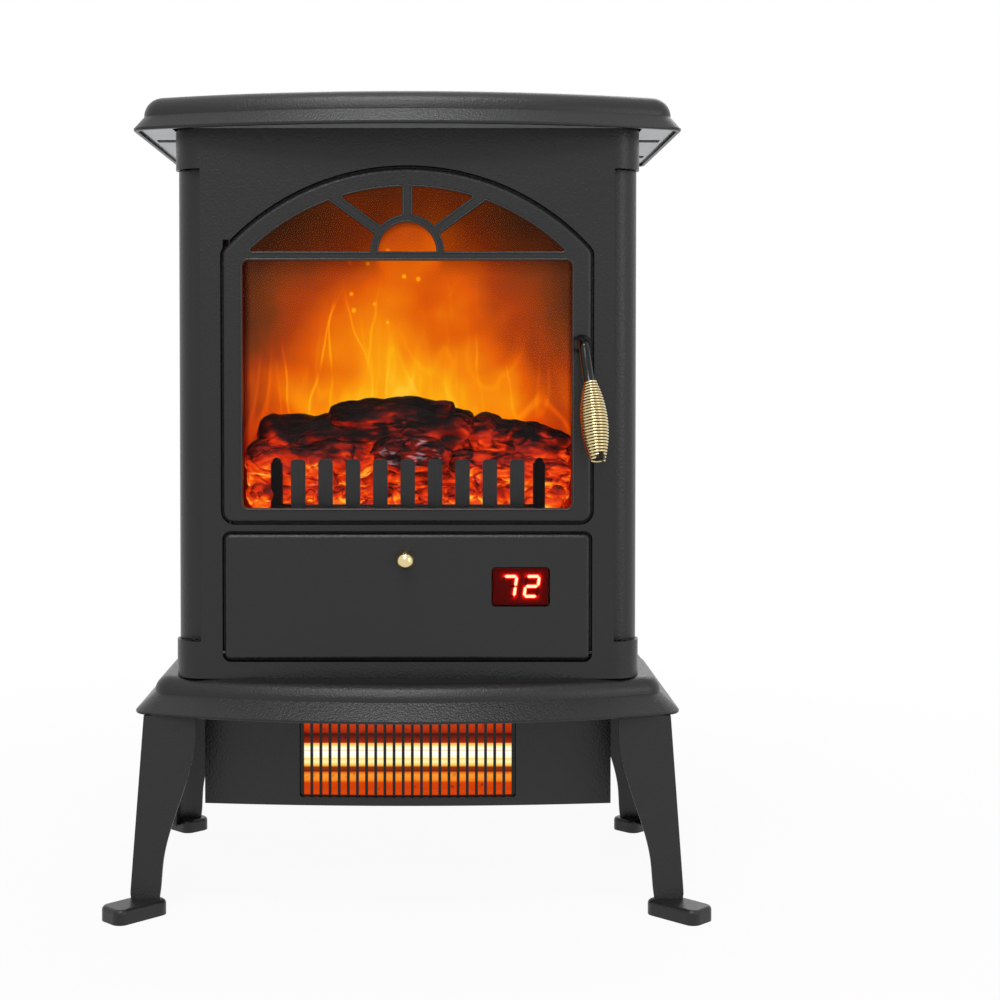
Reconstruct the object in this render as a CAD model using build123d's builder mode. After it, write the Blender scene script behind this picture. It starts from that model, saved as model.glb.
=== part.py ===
from build123d import *
from math import cos, radians, sin, sqrt
import os

# Electric fireplace stove, free-standing, in millimetres.
# X to the right, -Y to the front, +Z up; the origin is on the floor under the middle of the case.

os.makedirs("parts", exist_ok=True)

# ---------------------------------------------------------------- driving dimensions
# Case
SHEET = 1.5             # folded steel sheet of the case
MOULD = 3.0             # wall of the moulded lid, shelf, fascia and legs
BODY_HALF = 168.0       # half the width of the body
FACE_Y = -88.0          # front face of the fascia
BODY_BACK = 130.0       # outer face of the rear panel
SIDE_INSET = 1.0        # side panels stand this far inside the fascia's corner blocks
CORNER_R = 20.0         # vertical corners of the fascia
SHELF_BOTTOM = 137.0
SHELF_TOP = 162.0
LID_BOTTOM = 555.0
LID_TOP = 580.0
LID_SEAT = 3.0          # the body reaches this far up into the lid

# Plan of the lid and of the shelf
OVERHANG = 28.4         # lid and shelf reach this far past the body at each side
PLAN_HALF = BODY_HALF + OVERHANG
PLAN_FRONT = -130.0     # middle of the bowed front
PLAN_CORNER = -92.0     # ends of the bowed front
PLAN_REAR = 138.0
PLAN_CORNER_R = 16.0
PLAN_REAR_R = 6.0
LID_LOWER = 11.0        # height of the lower moulding of the lid
LID_LIP = 2.0           # upright lip under the slope
LIP_R = 1.0
LID_STEP = 6.5          # the upper moulding stands in from the lower one
LID_UPPER_R = 13.5
SHELF_LOWER = 13.0
SHELF_LIP = 2.0
SHELF_STEP = 12.0
SHELF_UPPER_R = 11.5
RIB = 2.0               # stiffening ribs under the lid
RIB_PITCH = 80.0
RIB_COUNT = 3

# Fascia
PLATE_HALF = 148.5      # flat plate between the two side recesses
BLOCK_HEIGHT = 26.5     # corner blocks above and below the recesses
BLOCK_BACK = -62.0      # rear edge of the corner blocks
RECESS_DEPTH = 9.0      # the side panel's front shows this far behind the fascia
GAP = 2.0               # groove round the door and the flap
RIM = 2.5               # rim round the two openings
DOOR_RIM_BACK = -76.0
FLAP_RIM_BACK = -79.0

# Door
DOOR_HALF = 132.0
DOOR_BOTTOM = 275.0
DOOR_ARCH_R = 176.0
DOOR_ARCH_Z = 352.6     # height of the arch's centre
DOOR_CORNER_R = 8.0
DOOR_PROUD = 2.5        # door and flap stand out from the fascia
DOOR_THICK = 9.0
DOOR_EDGE_R = 3.0
WINDOW_HALF = 118.0
WINDOW_BOTTOM = 285.0
WINDOW_TOP = 462.5
FAN_BOTTOM = 469.0      # foot of the fanlight
FAN_R = 162.5           # outer curve of the fanlight's panes
HUB_R = 26.5
HUB_PANE_R = 20.8
SPOKE = 7.5
SPOKE_ANGLE = 36.0
GLASS = 3.0
GLASS_LAP = 2.5         # the glass reaches this far behind the frame
GLASS_FIT = 0.3
PIN_D = 3.0
PIN_RUN = 0.05          # running fit of a pin in its bore, on the radius
HINGE_X = -127.5        # door hinge axis
HINGE_Y = -86.2
DOOR_PIN_D = 2.0

# Control flap
FLAP_HALF = 131.0
FLAP_BOTTOM = 176.0
FLAP_TOP = 266.5
FLAP_CORNER_R = 4.0
FLAP_THICK = 8.0
FLAP_SKIN = 2.5
FLAP_EDGE = 7.0         # solid border of the hollow flap
FLAP_AXIS_Y = -86.0
FLAP_AXIS_Z = 180.5
DISPLAY_X = 81.4
DISPLAY_Z = 228.5
DISPLAY_W = 42.0
DISPLAY_H = 28.5
DISPLAY_R = 3.0
KNOB_X = -1.3
KNOB_Z = 248.6
KNOB_D = 13.5


def facing(y):
    """Plane parallel to the front at depth y: local x is X and local y is Z; it faces the front."""
    return Plane.XZ.offset(-y)


def bow_plan(inset, mode=Mode.ADD):
    """Draw the bowed plan of the lid and shelf, moved in by inset."""
    half, rear = PLAN_HALF - inset, PLAN_REAR - inset
    front, corner = PLAN_FRONT + inset, PLAN_CORNER + inset
    with BuildLine() as line:
        ThreePointArc((-half, corner), (0, front), (half, corner))
        Polyline((half, corner), (half, rear), (-half, rear), (-half, corner))
    with BuildSketch(mode=Mode.PRIVATE) as plan:
        make_face(line.edges())
        fillet(plan.vertices().group_by(Axis.Y)[0], PLAN_CORNER_R)
        fillet(plan.vertices().group_by(Axis.Y)[-1], PLAN_REAR_R)
    add(plan.sketch, mode=mode)


def moulding(bottom, top, inset, lip, lower, step, radius):
    """A bowed slab: an upright lip, a slope that steps inwards, and an upper part with a rounded edge."""
    with BuildPart(mode=Mode.PRIVATE) as slab:
        with BuildSketch(Plane.XY.offset(bottom)):
            bow_plan(inset)
        extrude(amount=lip)
        with BuildSketch(Plane.XY.offset(bottom + lip)):
            bow_plan(inset)
        with BuildSketch(Plane.XY.offset(bottom + lower)):
            bow_plan(inset + step)
        loft(ruled=True)
        with BuildSketch(Plane.XY.offset(bottom + lower)):
            bow_plan(inset + step)
        extrude(amount=top - bottom - lower)
        fillet(slab.faces().sort_by(Axis.Z)[-1].edges(), radius)
    return slab.part


def arch_outline(half, bottom, radius, corner_r, mode=Mode.ADD):
    """Draw the door's outline: upright sides, an arched head and rounded corners."""
    spring = DOOR_ARCH_Z + sqrt(radius**2 - half**2)
    with BuildLine() as line:
        ThreePointArc((-half, spring), (0, DOOR_ARCH_Z + radius), (half, spring))
        Polyline((half, spring), (half, bottom), (-half, bottom), (-half, spring))
    with BuildSketch(mode=Mode.PRIVATE) as shape:
        make_face(line.edges())
        fillet(shape.vertices(), corner_r)
    add(shape.sketch, mode=mode)


def door_outline(grow, mode=Mode.ADD):
    """Draw the outline of the door, made larger all round by grow."""
    arch_outline(DOOR_HALF + grow, DOOR_BOTTOM - grow, DOOR_ARCH_R + grow, DOOR_CORNER_R + grow, mode)


def flap_outline(grow, mode=Mode.ADD):
    """Draw the outline of the control flap, made larger all round by grow."""
    with Locations((0, (FLAP_TOP + FLAP_BOTTOM) / 2)):
        RectangleRounded(2 * (FLAP_HALF + grow), FLAP_TOP - FLAP_BOTTOM + 2 * grow,
                         max(FLAP_CORNER_R + grow, FLAP_CORNER_R / 2), mode=mode)


def box_between(low, high, mode=Mode.ADD):
    """A box between two opposite corners."""
    size = [b - a for a, b in zip(low, high)]
    with Locations(Vector(*low)):
        Box(*size, align=(Align.MIN, Align.MIN, Align.MIN), mode=mode)


def save(builder, name):
    """Label a finished piece and write it."""
    builder.part.label = name
    export_step(builder.part, f"parts/{name}.step")



# ---------------------------------------------------------------- lid
BODY_TOP = LID_BOTTOM + LID_SEAT
SCREW_D = 3.5
SCREW_HEAD_D = 7.0
SCREW_HEAD = 2.0
SCREW_LENGTH = 12.0
BOSS_D = 9.0
FLANGE = 16.0           # folded flanges of the side panels
TOP_SCREWS = [(x, y) for x in (-157.0, 157.0) for y in (-35.0, 95.0)]

with BuildPart() as top_cover:
    add(moulding(LID_BOTTOM, LID_TOP, 0, LID_LIP, LID_LOWER, LID_STEP, LID_UPPER_R))
    fillet(top_cover.faces().sort_by(Axis.Z)[0].edges(), LIP_R)
    # Hollow underneath, with ribs and screw bosses left standing in it
    with BuildPart(mode=Mode.PRIVATE) as lid_hollow:
        add(moulding(LID_BOTTOM, LID_TOP - MOULD, MOULD, LID_LIP, LID_LOWER, LID_STEP, LID_UPPER_R - MOULD))
        with BuildSketch(Plane.XY.offset(BODY_TOP)):
            with GridLocations(0, RIB_PITCH, 1, RIB_COUNT):
                Rectangle(2 * PLAN_HALF, RIB)
            with Locations(*TOP_SCREWS):
                Circle(BOSS_D / 2)
        extrude(amount=LID_TOP - BODY_TOP, mode=Mode.SUBTRACT)
    add(lid_hollow.part, mode=Mode.SUBTRACT)
    with BuildSketch(Plane.XY.offset(BODY_TOP)):
        with Locations(*TOP_SCREWS):
            Circle(SCREW_D / 2)
    extrude(amount=SCREW_LENGTH - SHEET, mode=Mode.SUBTRACT)
save(top_cover, "top_cover")

# Bright plate under the lid's overhang, open round the body and slotted at the sides
PLATE = 1.0
PLATE_INSET = 4.5
VENT_YS = (-14.0, 85.0)
VENT_DEEP = 15.0
VENT_X = 180.0
VENT_W = 19.0
with BuildPart() as lid_underplate:
    with BuildSketch(Plane.XY.offset(BODY_TOP - PLATE)):
        bow_plan(PLATE_INSET)
        with Locations((0, (FACE_Y + BODY_BACK) / 2)):
            Rectangle(2 * BODY_HALF + PLATE, BODY_BACK - FACE_Y + PLATE, mode=Mode.SUBTRACT)
        with Locations(*[(side * VENT_X, y) for side in (-1, 1) for y in VENT_YS]):
            Rectangle(VENT_W, VENT_DEEP, mode=Mode.SUBTRACT)
    extrude(amount=PLATE)
save(lid_underplate, "lid_underplate")

# ---------------------------------------------------------------- base shelf
LEG_BOSSES = [(159.0, 90.0), (178.0, 87.0), (181.0, 68.0)]     # one quarter of the leg screws
DUCT_HALF = 90.0
DUCT_FRONT = 18.0
DUCT_BACK = 62.0
WIRE_HOLE_D = 22.0
WIRE_X = -60.0
WIRE_Y = 100.0
LEG_SCREWS = [(sx * x, sy * y) for sx in (-1, 1) for sy in (-1, 1) for x, y in LEG_BOSSES]

with BuildPart() as base_shelf:
    add(moulding(SHELF_BOTTOM, SHELF_TOP, 0, SHELF_LIP, SHELF_LOWER, SHELF_STEP, SHELF_UPPER_R))
    fillet(base_shelf.faces().sort_by(Axis.Z)[0].edges(), LIP_R)
    with BuildPart(mode=Mode.PRIVATE) as shelf_hollow:
        add(moulding(SHELF_BOTTOM, SHELF_TOP - MOULD, MOULD, SHELF_LIP, SHELF_LOWER, SHELF_STEP,
                     SHELF_UPPER_R - MOULD))
        with BuildSketch(Plane.XY.offset(SHELF_BOTTOM)):
            with Locations(*LEG_SCREWS):
                Circle(BOSS_D / 2)
        extrude(amount=SHELF_TOP - SHELF_BOTTOM, mode=Mode.SUBTRACT)
    add(shelf_hollow.part, mode=Mode.SUBTRACT)
    with BuildSketch(Plane.XY.offset(SHELF_BOTTOM)):
        with Locations(*LEG_SCREWS):
            Circle(SCREW_D / 2)
    extrude(amount=SCREW_LENGTH - MOULD, mode=Mode.SUBTRACT)
    box_between((-DUCT_HALF, DUCT_FRONT, SHELF_TOP - 2 * MOULD), (DUCT_HALF, DUCT_BACK, SHELF_TOP),
                Mode.SUBTRACT)
    with Locations((WIRE_X, WIRE_Y, SHELF_TOP)):
        Hole(WIRE_HOLE_D / 2)
save(base_shelf, "base_shelf")

# ---------------------------------------------------------------- fascia
LUG_HALF = 5.0          # hinge lugs on the rims
LUG_DEEP = 9.0
STOP_Y = -79.4          # front of the lip behind the door
STOP_LAP = 2.0
STOP_NOTCH = 16.0       # the lip is cut away round the catch
RELIEF_R = 5.0          # room for the door's shoulder, which turns beside the top hinge pin
RELIEF_Z = 468.0
DOOR_CATCH_Z = 343.0
PLATE_BACK = FACE_Y + MOULD
RECESS_Y = FACE_Y + RECESS_DEPTH
PIN_BORE = PIN_D / 2 + PIN_RUN
DOOR_PIN_TOP = 486.5    # tips of the hinge pins
DOOR_PIN_FOOT = 269.7
FLAP_PIN_TIP = 138.0
BLOCK_ZS = (SHELF_TOP, BODY_TOP - BLOCK_HEIGHT - LID_SEAT)
BLOCK_TOPS = (SHELF_TOP + BLOCK_HEIGHT, BODY_TOP)

with BuildPart() as front_fascia:
    with BuildSketch(facing(FACE_Y)):
        with Locations((0, (SHELF_TOP + BODY_TOP) / 2)):
            Rectangle(2 * PLATE_HALF, BODY_TOP - SHELF_TOP)
    extrude(amount=-MOULD)
    # Corner blocks wrap round the body above and below the recesses
    for low, high in zip(BLOCK_ZS, BLOCK_TOPS):
        with BuildSketch(Plane.XY.offset(low)):
            for outer, radius, mode in ((BODY_HALF, CORNER_R, Mode.ADD),
                                        (BODY_HALF - MOULD, CORNER_R - MOULD, Mode.SUBTRACT)):
                front = FACE_Y + BODY_HALF - outer
                with BuildLine() as line:
                    FilletPolyline((-outer, BLOCK_BACK), (-outer, front), (outer, front),
                                   (outer, BLOCK_BACK), radius=radius)
                    Line((outer, BLOCK_BACK), (-outer, BLOCK_BACK))
                make_face(line.edges(), mode=mode)
        extrude(amount=high - low)
    # Returned edges of the flat plate
    for x in (-PLATE_HALF, PLATE_HALF - MOULD):
        box_between((x, PLATE_BACK, SHELF_TOP), (x + MOULD, RECESS_Y, BODY_TOP))
    # Rims round the two openings
    with BuildSketch(facing(FACE_Y)):
        door_outline(GAP + RIM)
    extrude(amount=FACE_Y - DOOR_RIM_BACK)
    with BuildSketch(facing(FACE_Y)):
        flap_outline(GAP + RIM)
    extrude(amount=FACE_Y - FLAP_RIM_BACK)
    # Hinge lugs of the door and of the flap
    box_between((HINGE_X - LUG_HALF, FACE_Y, DOOR_PIN_TOP - LUG_DEEP),
                (HINGE_X + LUG_HALF, DOOR_RIM_BACK, DOOR_PIN_TOP + RIM))
    for side in (-1, 1):
        x = side * (FLAP_HALF + GAP + LUG_DEEP / 2)
        with Locations((x, (FACE_Y + FLAP_RIM_BACK) / 2, FLAP_AXIS_Z)):
            Box(LUG_DEEP, FLAP_RIM_BACK - FACE_Y, 2 * LUG_HALF)
    with BuildSketch(facing(FACE_Y)):
        door_outline(GAP)
        flap_outline(GAP)
    extrude(amount=FACE_Y - DOOR_RIM_BACK, mode=Mode.SUBTRACT)
    # Lip behind the door's edge, so that no light shows through the groove
    with BuildSketch(facing(STOP_Y)):
        door_outline(GAP + RIM / 2)
        door_outline(-STOP_LAP, Mode.SUBTRACT)
        with Locations((DOOR_HALF, DOOR_CATCH_Z)):
            Rectangle(STOP_NOTCH, STOP_NOTCH, mode=Mode.SUBTRACT)
    extrude(amount=STOP_Y - DOOR_RIM_BACK)
    with Locations(Plane((HINGE_X, HINGE_Y, DOOR_PIN_FOOT))):
        Cylinder(DOOR_PIN_D / 2 + PIN_RUN, DOOR_PIN_TOP - DOOR_PIN_FOOT, align=(Align.CENTER, Align.CENTER, Align.MIN),
                 mode=Mode.SUBTRACT)
    with Locations((HINGE_X, HINGE_Y, RELIEF_Z)):
        Cylinder(RELIEF_R, DOOR_PIN_TOP - LUG_DEEP - RELIEF_Z, align=(Align.CENTER, Align.CENTER, Align.MIN),
                 mode=Mode.SUBTRACT)
    with Locations(Plane((0, FLAP_AXIS_Y, FLAP_AXIS_Z), x_dir=(0, 1, 0), z_dir=(1, 0, 0))):
        Cylinder(PIN_BORE, 2 * FLAP_PIN_TIP, mode=Mode.SUBTRACT)
save(front_fascia, "front_fascia")

# ---------------------------------------------------------------- side panels
SIDE_OUT = BODY_HALF - SIDE_INSET
SIDE_R = CORNER_R - SIDE_INSET
REAR_SCREW_ZS = (195.0, 360.0, 525.0)
REAR_SCREW_X = SIDE_OUT - FLANGE / 2
FRONT_FLANGE = 7.5
FRONT_END = BODY_HALF - CORNER_R - FRONT_FLANGE     # ends of the panel's front and rear flanges
REAR_END = SIDE_OUT - FLANGE
PANEL_BACK = BODY_BACK - SHEET          # the rear panel lies on the side panels' rear flanges


def side_profile(inset, reach, mode=Mode.ADD):
    """Draw the plan of the right side panel, moved in by inset; reach takes it past its flanges' ends."""
    out, front, rear = SIDE_OUT - inset, RECESS_Y + inset, PANEL_BACK - inset
    with BuildLine() as line:
        Line((FRONT_END - reach, front), (out - SIDE_R + inset, front))
        JernArc((out - SIDE_R + inset, front), (1, 0), SIDE_R - inset, 90)
        Polyline((out, front + SIDE_R - inset), (out, rear), (REAR_END - reach, rear),
                 (FRONT_END - reach, front))
    make_face(line.edges(), mode=mode)


with BuildPart() as right_side_panel:
    with BuildSketch(Plane.XY.offset(SHELF_TOP)):
        side_profile(0, 0)
        side_profile(SHEET, FLANGE, Mode.SUBTRACT)
    extrude(amount=BODY_TOP - SHELF_TOP)
    # The front corner gives way to the fascia's corner blocks
    for low, high in zip(BLOCK_ZS, BLOCK_TOPS):
        box_between((0, RECESS_Y - SHEET, low), (BODY_HALF, BLOCK_BACK, high), Mode.SUBTRACT)
    # Inward flange under the lid
    box_between((SIDE_OUT - FLANGE - SHEET, BLOCK_BACK, BODY_TOP - SHEET), (SIDE_OUT, PANEL_BACK, BODY_TOP))
    with Locations(*[(x, y, BODY_TOP) for x, y in TOP_SCREWS if x > 0]):
        Hole(SCREW_D / 2, depth=2 * SHEET)
    with Locations(*[Plane((REAR_SCREW_X, PANEL_BACK, z), z_dir=(0, 1, 0)) for z in REAR_SCREW_ZS]):
        Hole(SCREW_D / 2, depth=2 * SHEET)
save(right_side_panel, "right_side_panel")

with BuildPart() as left_side_panel:
    mirror(right_side_panel.part, about=Plane.YZ)
save(left_side_panel, "left_side_panel")

# ---------------------------------------------------------------- rear panel
LOUVRE_W = 90.0
LOUVRE_H = 4.0
LOUVRE_PITCH = 9.0
LOUVRE_ROWS = 7
LOUVRE_Z = 225.0
LOUVRE_X = 62.0
GLAND_X = 118.0
GLAND_Z = 186.0
GLAND_BORE = 7.5        # hole of the gland, for the mains lead
GLAND_NECK = 12.5

with BuildPart() as rear_panel:
    box_between((-SIDE_OUT, PANEL_BACK, SHELF_TOP), (SIDE_OUT, BODY_BACK, BODY_TOP))
    with BuildSketch(Plane((0, BODY_BACK, LOUVRE_Z), x_dir=(-1, 0, 0), z_dir=(0, 1, 0))):
        with GridLocations(2 * LOUVRE_X, LOUVRE_PITCH, 2, LOUVRE_ROWS):
            SlotOverall(LOUVRE_W, LOUVRE_H)
    extrude(amount=-SHEET, mode=Mode.SUBTRACT)
    with Locations(*[Plane((side * REAR_SCREW_X, BODY_BACK, z), z_dir=(0, 1, 0))
                     for side in (-1, 1) for z in REAR_SCREW_ZS]):
        Hole(SCREW_D / 2, depth=SHEET)
    with Locations(Plane((GLAND_X, BODY_BACK, GLAND_Z), z_dir=(0, 1, 0))):
        Hole(GLAND_NECK / 2, depth=SHEET)
save(rear_panel, "rear_panel")

# ---------------------------------------------------------------- door
GLASS_BACK = FACE_Y - DOOR_PROUD + DOOR_THICK
DOOR_FRONT = FACE_Y - DOOR_PROUD
STUD_X = 125.0
STUD_Z = 403.0
STUD_D = 5.0
STUD_RUN = 0.05
BEVEL = 1.0


def glass_outline(grow=0.0):
    """Draw the outline of the door's glass."""
    half = WINDOW_HALF + GLASS_LAP + grow
    arch_outline(half, WINDOW_BOTTOM - GLASS_LAP - grow, FAN_R + GLASS_LAP + grow, GLASS_LAP + grow)


def door_openings():
    """Draw the window and the panes of the fanlight."""
    with BuildSketch(mode=Mode.PRIVATE) as openings:
        with Locations((0, (WINDOW_BOTTOM + WINDOW_TOP) / 2)):
            RectangleRounded(2 * WINDOW_HALF, WINDOW_TOP - WINDOW_BOTTOM, FLAP_CORNER_R)
    with BuildSketch(mode=Mode.PRIVATE) as fan:
        with Locations((0, DOOR_ARCH_Z)):
            Circle(FAN_R)
        with Locations((0, FAN_BOTTOM)):
            Rectangle(4 * FAN_R, 2 * FAN_R, align=(Align.CENTER, Align.MAX), mode=Mode.SUBTRACT)
            Circle(HUB_R, mode=Mode.SUBTRACT)
            for angle in (SPOKE_ANGLE, 90.0, 180.0 - SPOKE_ANGLE):
                Rectangle(2 * FAN_R, SPOKE, rotation=angle, align=(Align.MIN, Align.CENTER), mode=Mode.SUBTRACT)
        fillet(fan.vertices(), BEVEL)
        with Locations((0, FAN_BOTTOM)):
            Circle(HUB_PANE_R)
            Rectangle(2 * HUB_R, HUB_R, align=(Align.CENTER, Align.MAX), mode=Mode.SUBTRACT)
    add(openings.sketch)
    add(fan.sketch)


with BuildPart() as door_frame:
    with BuildSketch(facing(DOOR_FRONT)):
        door_outline(0)
    extrude(amount=-DOOR_THICK)
    fillet(door_frame.faces().sort_by(Axis.Y)[0].edges(), DOOR_EDGE_R)
    with BuildSketch(facing(DOOR_FRONT)):
        door_openings()
    extrude(amount=-DOOR_THICK, mode=Mode.SUBTRACT)
    with BuildSketch(facing(GLASS_BACK)):
        glass_outline(GLASS_FIT)
    extrude(amount=GLASS, mode=Mode.SUBTRACT)
    with Locations((HINGE_X, HINGE_Y, 0)):
        Cylinder(DOOR_PIN_D / 2, 2 * LID_TOP, mode=Mode.SUBTRACT)
    with Locations(Plane((STUD_X, DOOR_FRONT, STUD_Z), z_dir=(0, -1, 0))):
        Hole(STUD_D / 2 + STUD_RUN, depth=DOOR_THICK)
save(door_frame, "door_frame")

with BuildPart() as door_glass:
    with BuildSketch(facing(GLASS_BACK)):
        glass_outline()
    extrude(amount=GLASS)
save(door_glass, "door_glass")

CLIP_W = 8.0
CLIP_H = 12.0
CLIP = 1.0
CLIP_X = WINDOW_HALF + GLASS_LAP + MOULD
CLIPS = [(side * CLIP_X, z) for side in (-1, 1) for z in (310.0, 375.0, 440.0)]
with BuildPart() as glass_clips:
    with BuildSketch(facing(GLASS_BACK)):
        with Locations(*CLIPS):
            RectangleRounded(CLIP_W, CLIP_H, 1.5)
    extrude(amount=-CLIP)
    with BuildSketch(facing(GLASS_BACK + CLIP)):
        with Locations(*CLIPS):
            Circle(2.0)
    extrude(amount=-CLIP)
save(glass_clips, "glass_clips")

PIN_LENGTH = 18.0
with BuildPart() as door_hinge_pins:
    with Locations((HINGE_X, HINGE_Y, DOOR_PIN_TOP - PIN_RUN - PIN_LENGTH)):
        Cylinder(DOOR_PIN_D / 2, PIN_LENGTH, align=(Align.CENTER, Align.CENTER, Align.MIN))
    with Locations((HINGE_X, HINGE_Y, DOOR_PIN_FOOT + PIN_RUN)):
        Cylinder(DOOR_PIN_D / 2, PIN_LENGTH, align=(Align.CENTER, Align.CENTER, Align.MIN))
save(door_hinge_pins, "door_hinge_pins")

# Magnetic catches on the rims, with strike plates on the door and the flap
FACE_GAP = 0.2          # between faces that only just clear each other
STRIKE = 1.0
STRIKE_W = 8.0
STRIKE_H = 14.0
DOOR_CATCH_X = DOOR_HALF - 5.0
with BuildPart() as door_strike_plate:
    with BuildSketch(facing(GLASS_BACK)):
        with Locations((DOOR_CATCH_X, DOOR_CATCH_Z)):
            RectangleRounded(STRIKE_W, STRIKE_H, 1.0)
    extrude(amount=-STRIKE)
save(door_strike_plate, "door_strike_plate")

with BuildPart() as door_catch:
    box_between((DOOR_CATCH_X - STRIKE_W / 2, GLASS_BACK + STRIKE + FACE_GAP, DOOR_CATCH_Z - STRIKE_H / 2),
                (DOOR_HALF + GAP, DOOR_RIM_BACK, DOOR_CATCH_Z + STRIKE_H / 2))
    chamfer(door_catch.edges().filter_by(Axis.Z), 0.5)
save(door_catch, "door_catch")

# ---------------------------------------------------------------- handle
ROD_D = 7.6
HANDLE_OUT = 14.0       # the rod's bend stands this far off the door
HANDLE_SLANT = 5.8      # the grip hangs outwards to the right
HANDLE_LEAN = 20.0      # and leans away from the door
BEND_R = 7.0
GRIP_TOP = 29.0
GRIP_LENGTH = 58.0
GRIP_TIP = 6.0
GRIP_ENDS = (4.6, 5.5)  # radius at the grip's top and foot
GRIP_BELLY = 9.75
COILS = 20
WIRE = GRIP_LENGTH / COILS
GROOVE = 0.6            # depth of the grooves between the turns
COLLAR_D = 13.0
COLLAR = 3.0
NUT_D = 9.0
NUT = 3.5
BEND = Vector(STUD_X, DOOR_FRONT - HANDLE_OUT, STUD_Z)
HANG = Vector(sin(radians(HANDLE_SLANT)), -sin(radians(HANDLE_LEAN)), -cos(radians(HANDLE_LEAN))).normalized()
ROD_END = BEND + HANG * (GRIP_TOP + GRIP_LENGTH + GRIP_TIP)
GRIP_PLANE = Plane(BEND + HANG * GRIP_TOP, x_dir=(1, 0, 0), z_dir=HANG)

with BuildPart() as handle_rod:
    with BuildLine() as path:
        FilletPolyline((STUD_X, DOOR_FRONT - FACE_GAP, STUD_Z), BEND, ROD_END, radius=BEND_R)
    with BuildSketch(Plane((STUD_X, DOOR_FRONT - FACE_GAP, STUD_Z), z_dir=(0, -1, 0))):
        Circle(ROD_D / 2)
    sweep(path=path.line)
    fillet(handle_rod.edges().sort_by(Axis.Z)[0], ROD_D / 3)
    with Locations(Plane((STUD_X, DOOR_FRONT - FACE_GAP, STUD_Z), z_dir=(0, -1, 0))):
        Cylinder(COLLAR_D / 2, COLLAR, align=(Align.CENTER, Align.CENTER, Align.MIN))
    with Locations(Plane((STUD_X, DOOR_FRONT - FACE_GAP, STUD_Z), z_dir=(0, 1, 0))):
        Cylinder(STUD_D / 2, DOOR_THICK + NUT, align=(Align.CENTER, Align.CENTER, Align.MIN))
save(handle_rod, "handle_rod")


def grip_radius(run):
    """Radius of the barrel-shaped grip at a distance below its top."""
    part = run / GRIP_LENGTH
    straight = GRIP_ENDS[0] + (GRIP_ENDS[1] - GRIP_ENDS[0]) * part
    return straight + 4 * (GRIP_BELLY - sum(GRIP_ENDS) / 2) * part * (1 - part)


turns = []
for turn in range(COILS):
    turns.append((grip_radius(turn * WIRE) - GROOVE, turn * WIRE))
    turns.append((grip_radius((turn + 0.5) * WIRE), (turn + 0.5) * WIRE))
turns.append((GRIP_ENDS[1] - GROOVE, GRIP_LENGTH))

with BuildPart() as handle_coil_grip:
    with BuildSketch(Plane(GRIP_PLANE.origin, x_dir=GRIP_PLANE.x_dir, z_dir=-GRIP_PLANE.y_dir)):
        with BuildLine() as outline:
            Polyline(*turns, (ROD_D / 2, GRIP_LENGTH), (ROD_D / 2, 0), turns[0])
        make_face()
    revolve(axis=Axis(GRIP_PLANE.origin, HANG))
save(handle_coil_grip, "handle_coil_grip")

with BuildPart() as handle_nut:
    with BuildSketch(facing(GLASS_BACK + FACE_GAP)):
        with Locations((STUD_X, STUD_Z)):
            RegularPolygon(NUT_D / 2, 6)
            Circle(STUD_D / 2, mode=Mode.SUBTRACT)
    extrude(amount=-NUT + FACE_GAP)
save(handle_nut, "handle_nut")

# ---------------------------------------------------------------- control flap
FLAP_FRONT = FACE_Y - DOOR_PROUD
FLAP_BACK = FLAP_FRONT + FLAP_THICK
FLAP_MID = (FLAP_TOP + FLAP_BOTTOM) / 2
KNOB_NECK_D = 6.0
KNOB_STANDOFF = 11.0    # centre of the ball in front of the flap
LENS = 1.5
LENS_FIT = 0.1
FLAP_CATCH_X = 60.0
FLAP_PINS = [Plane((side * (FLAP_PIN_TIP - PIN_RUN - PIN_LENGTH / 2), FLAP_AXIS_Y, FLAP_AXIS_Z),
                   x_dir=(0, 1, 0), z_dir=(1, 0, 0)) for side in (-1, 1)]

with BuildPart() as control_flap:
    with BuildSketch(facing(FLAP_FRONT)):
        flap_outline(0)
    extrude(amount=-FLAP_THICK)
    fillet(control_flap.faces().sort_by(Axis.Y)[0].edges(), DOOR_EDGE_R)
    with BuildSketch(facing(FLAP_FRONT + FLAP_SKIN)):
        flap_outline(-FLAP_EDGE)
        for x, z, w, h in ((DISPLAY_X, DISPLAY_Z, DISPLAY_W + 2 * MOULD, DISPLAY_H + 2 * MOULD),
                           (KNOB_X, KNOB_Z, KNOB_D, KNOB_D)):
            with Locations((x, z)):
                RectangleRounded(w, h, DISPLAY_R, mode=Mode.SUBTRACT)
    extrude(amount=FLAP_SKIN - FLAP_THICK, mode=Mode.SUBTRACT)
    with BuildSketch(facing(FLAP_FRONT)):
        with Locations((DISPLAY_X, DISPLAY_Z)):
            RectangleRounded(DISPLAY_W, DISPLAY_H, DISPLAY_R)
    extrude(amount=-FLAP_THICK, mode=Mode.SUBTRACT)
    with Locations(Plane((KNOB_X, FLAP_FRONT, KNOB_Z), z_dir=(0, -1, 0))):
        Hole(KNOB_NECK_D / 4, depth=FLAP_THICK)
    with Locations(*FLAP_PINS):
        Cylinder(PIN_D / 2, PIN_LENGTH, mode=Mode.SUBTRACT)
save(control_flap, "control_flap")

with BuildPart() as flap_hinge_pins:
    with Locations(*FLAP_PINS):
        Cylinder(PIN_D / 2, PIN_LENGTH)
save(flap_hinge_pins, "flap_hinge_pins")

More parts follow.
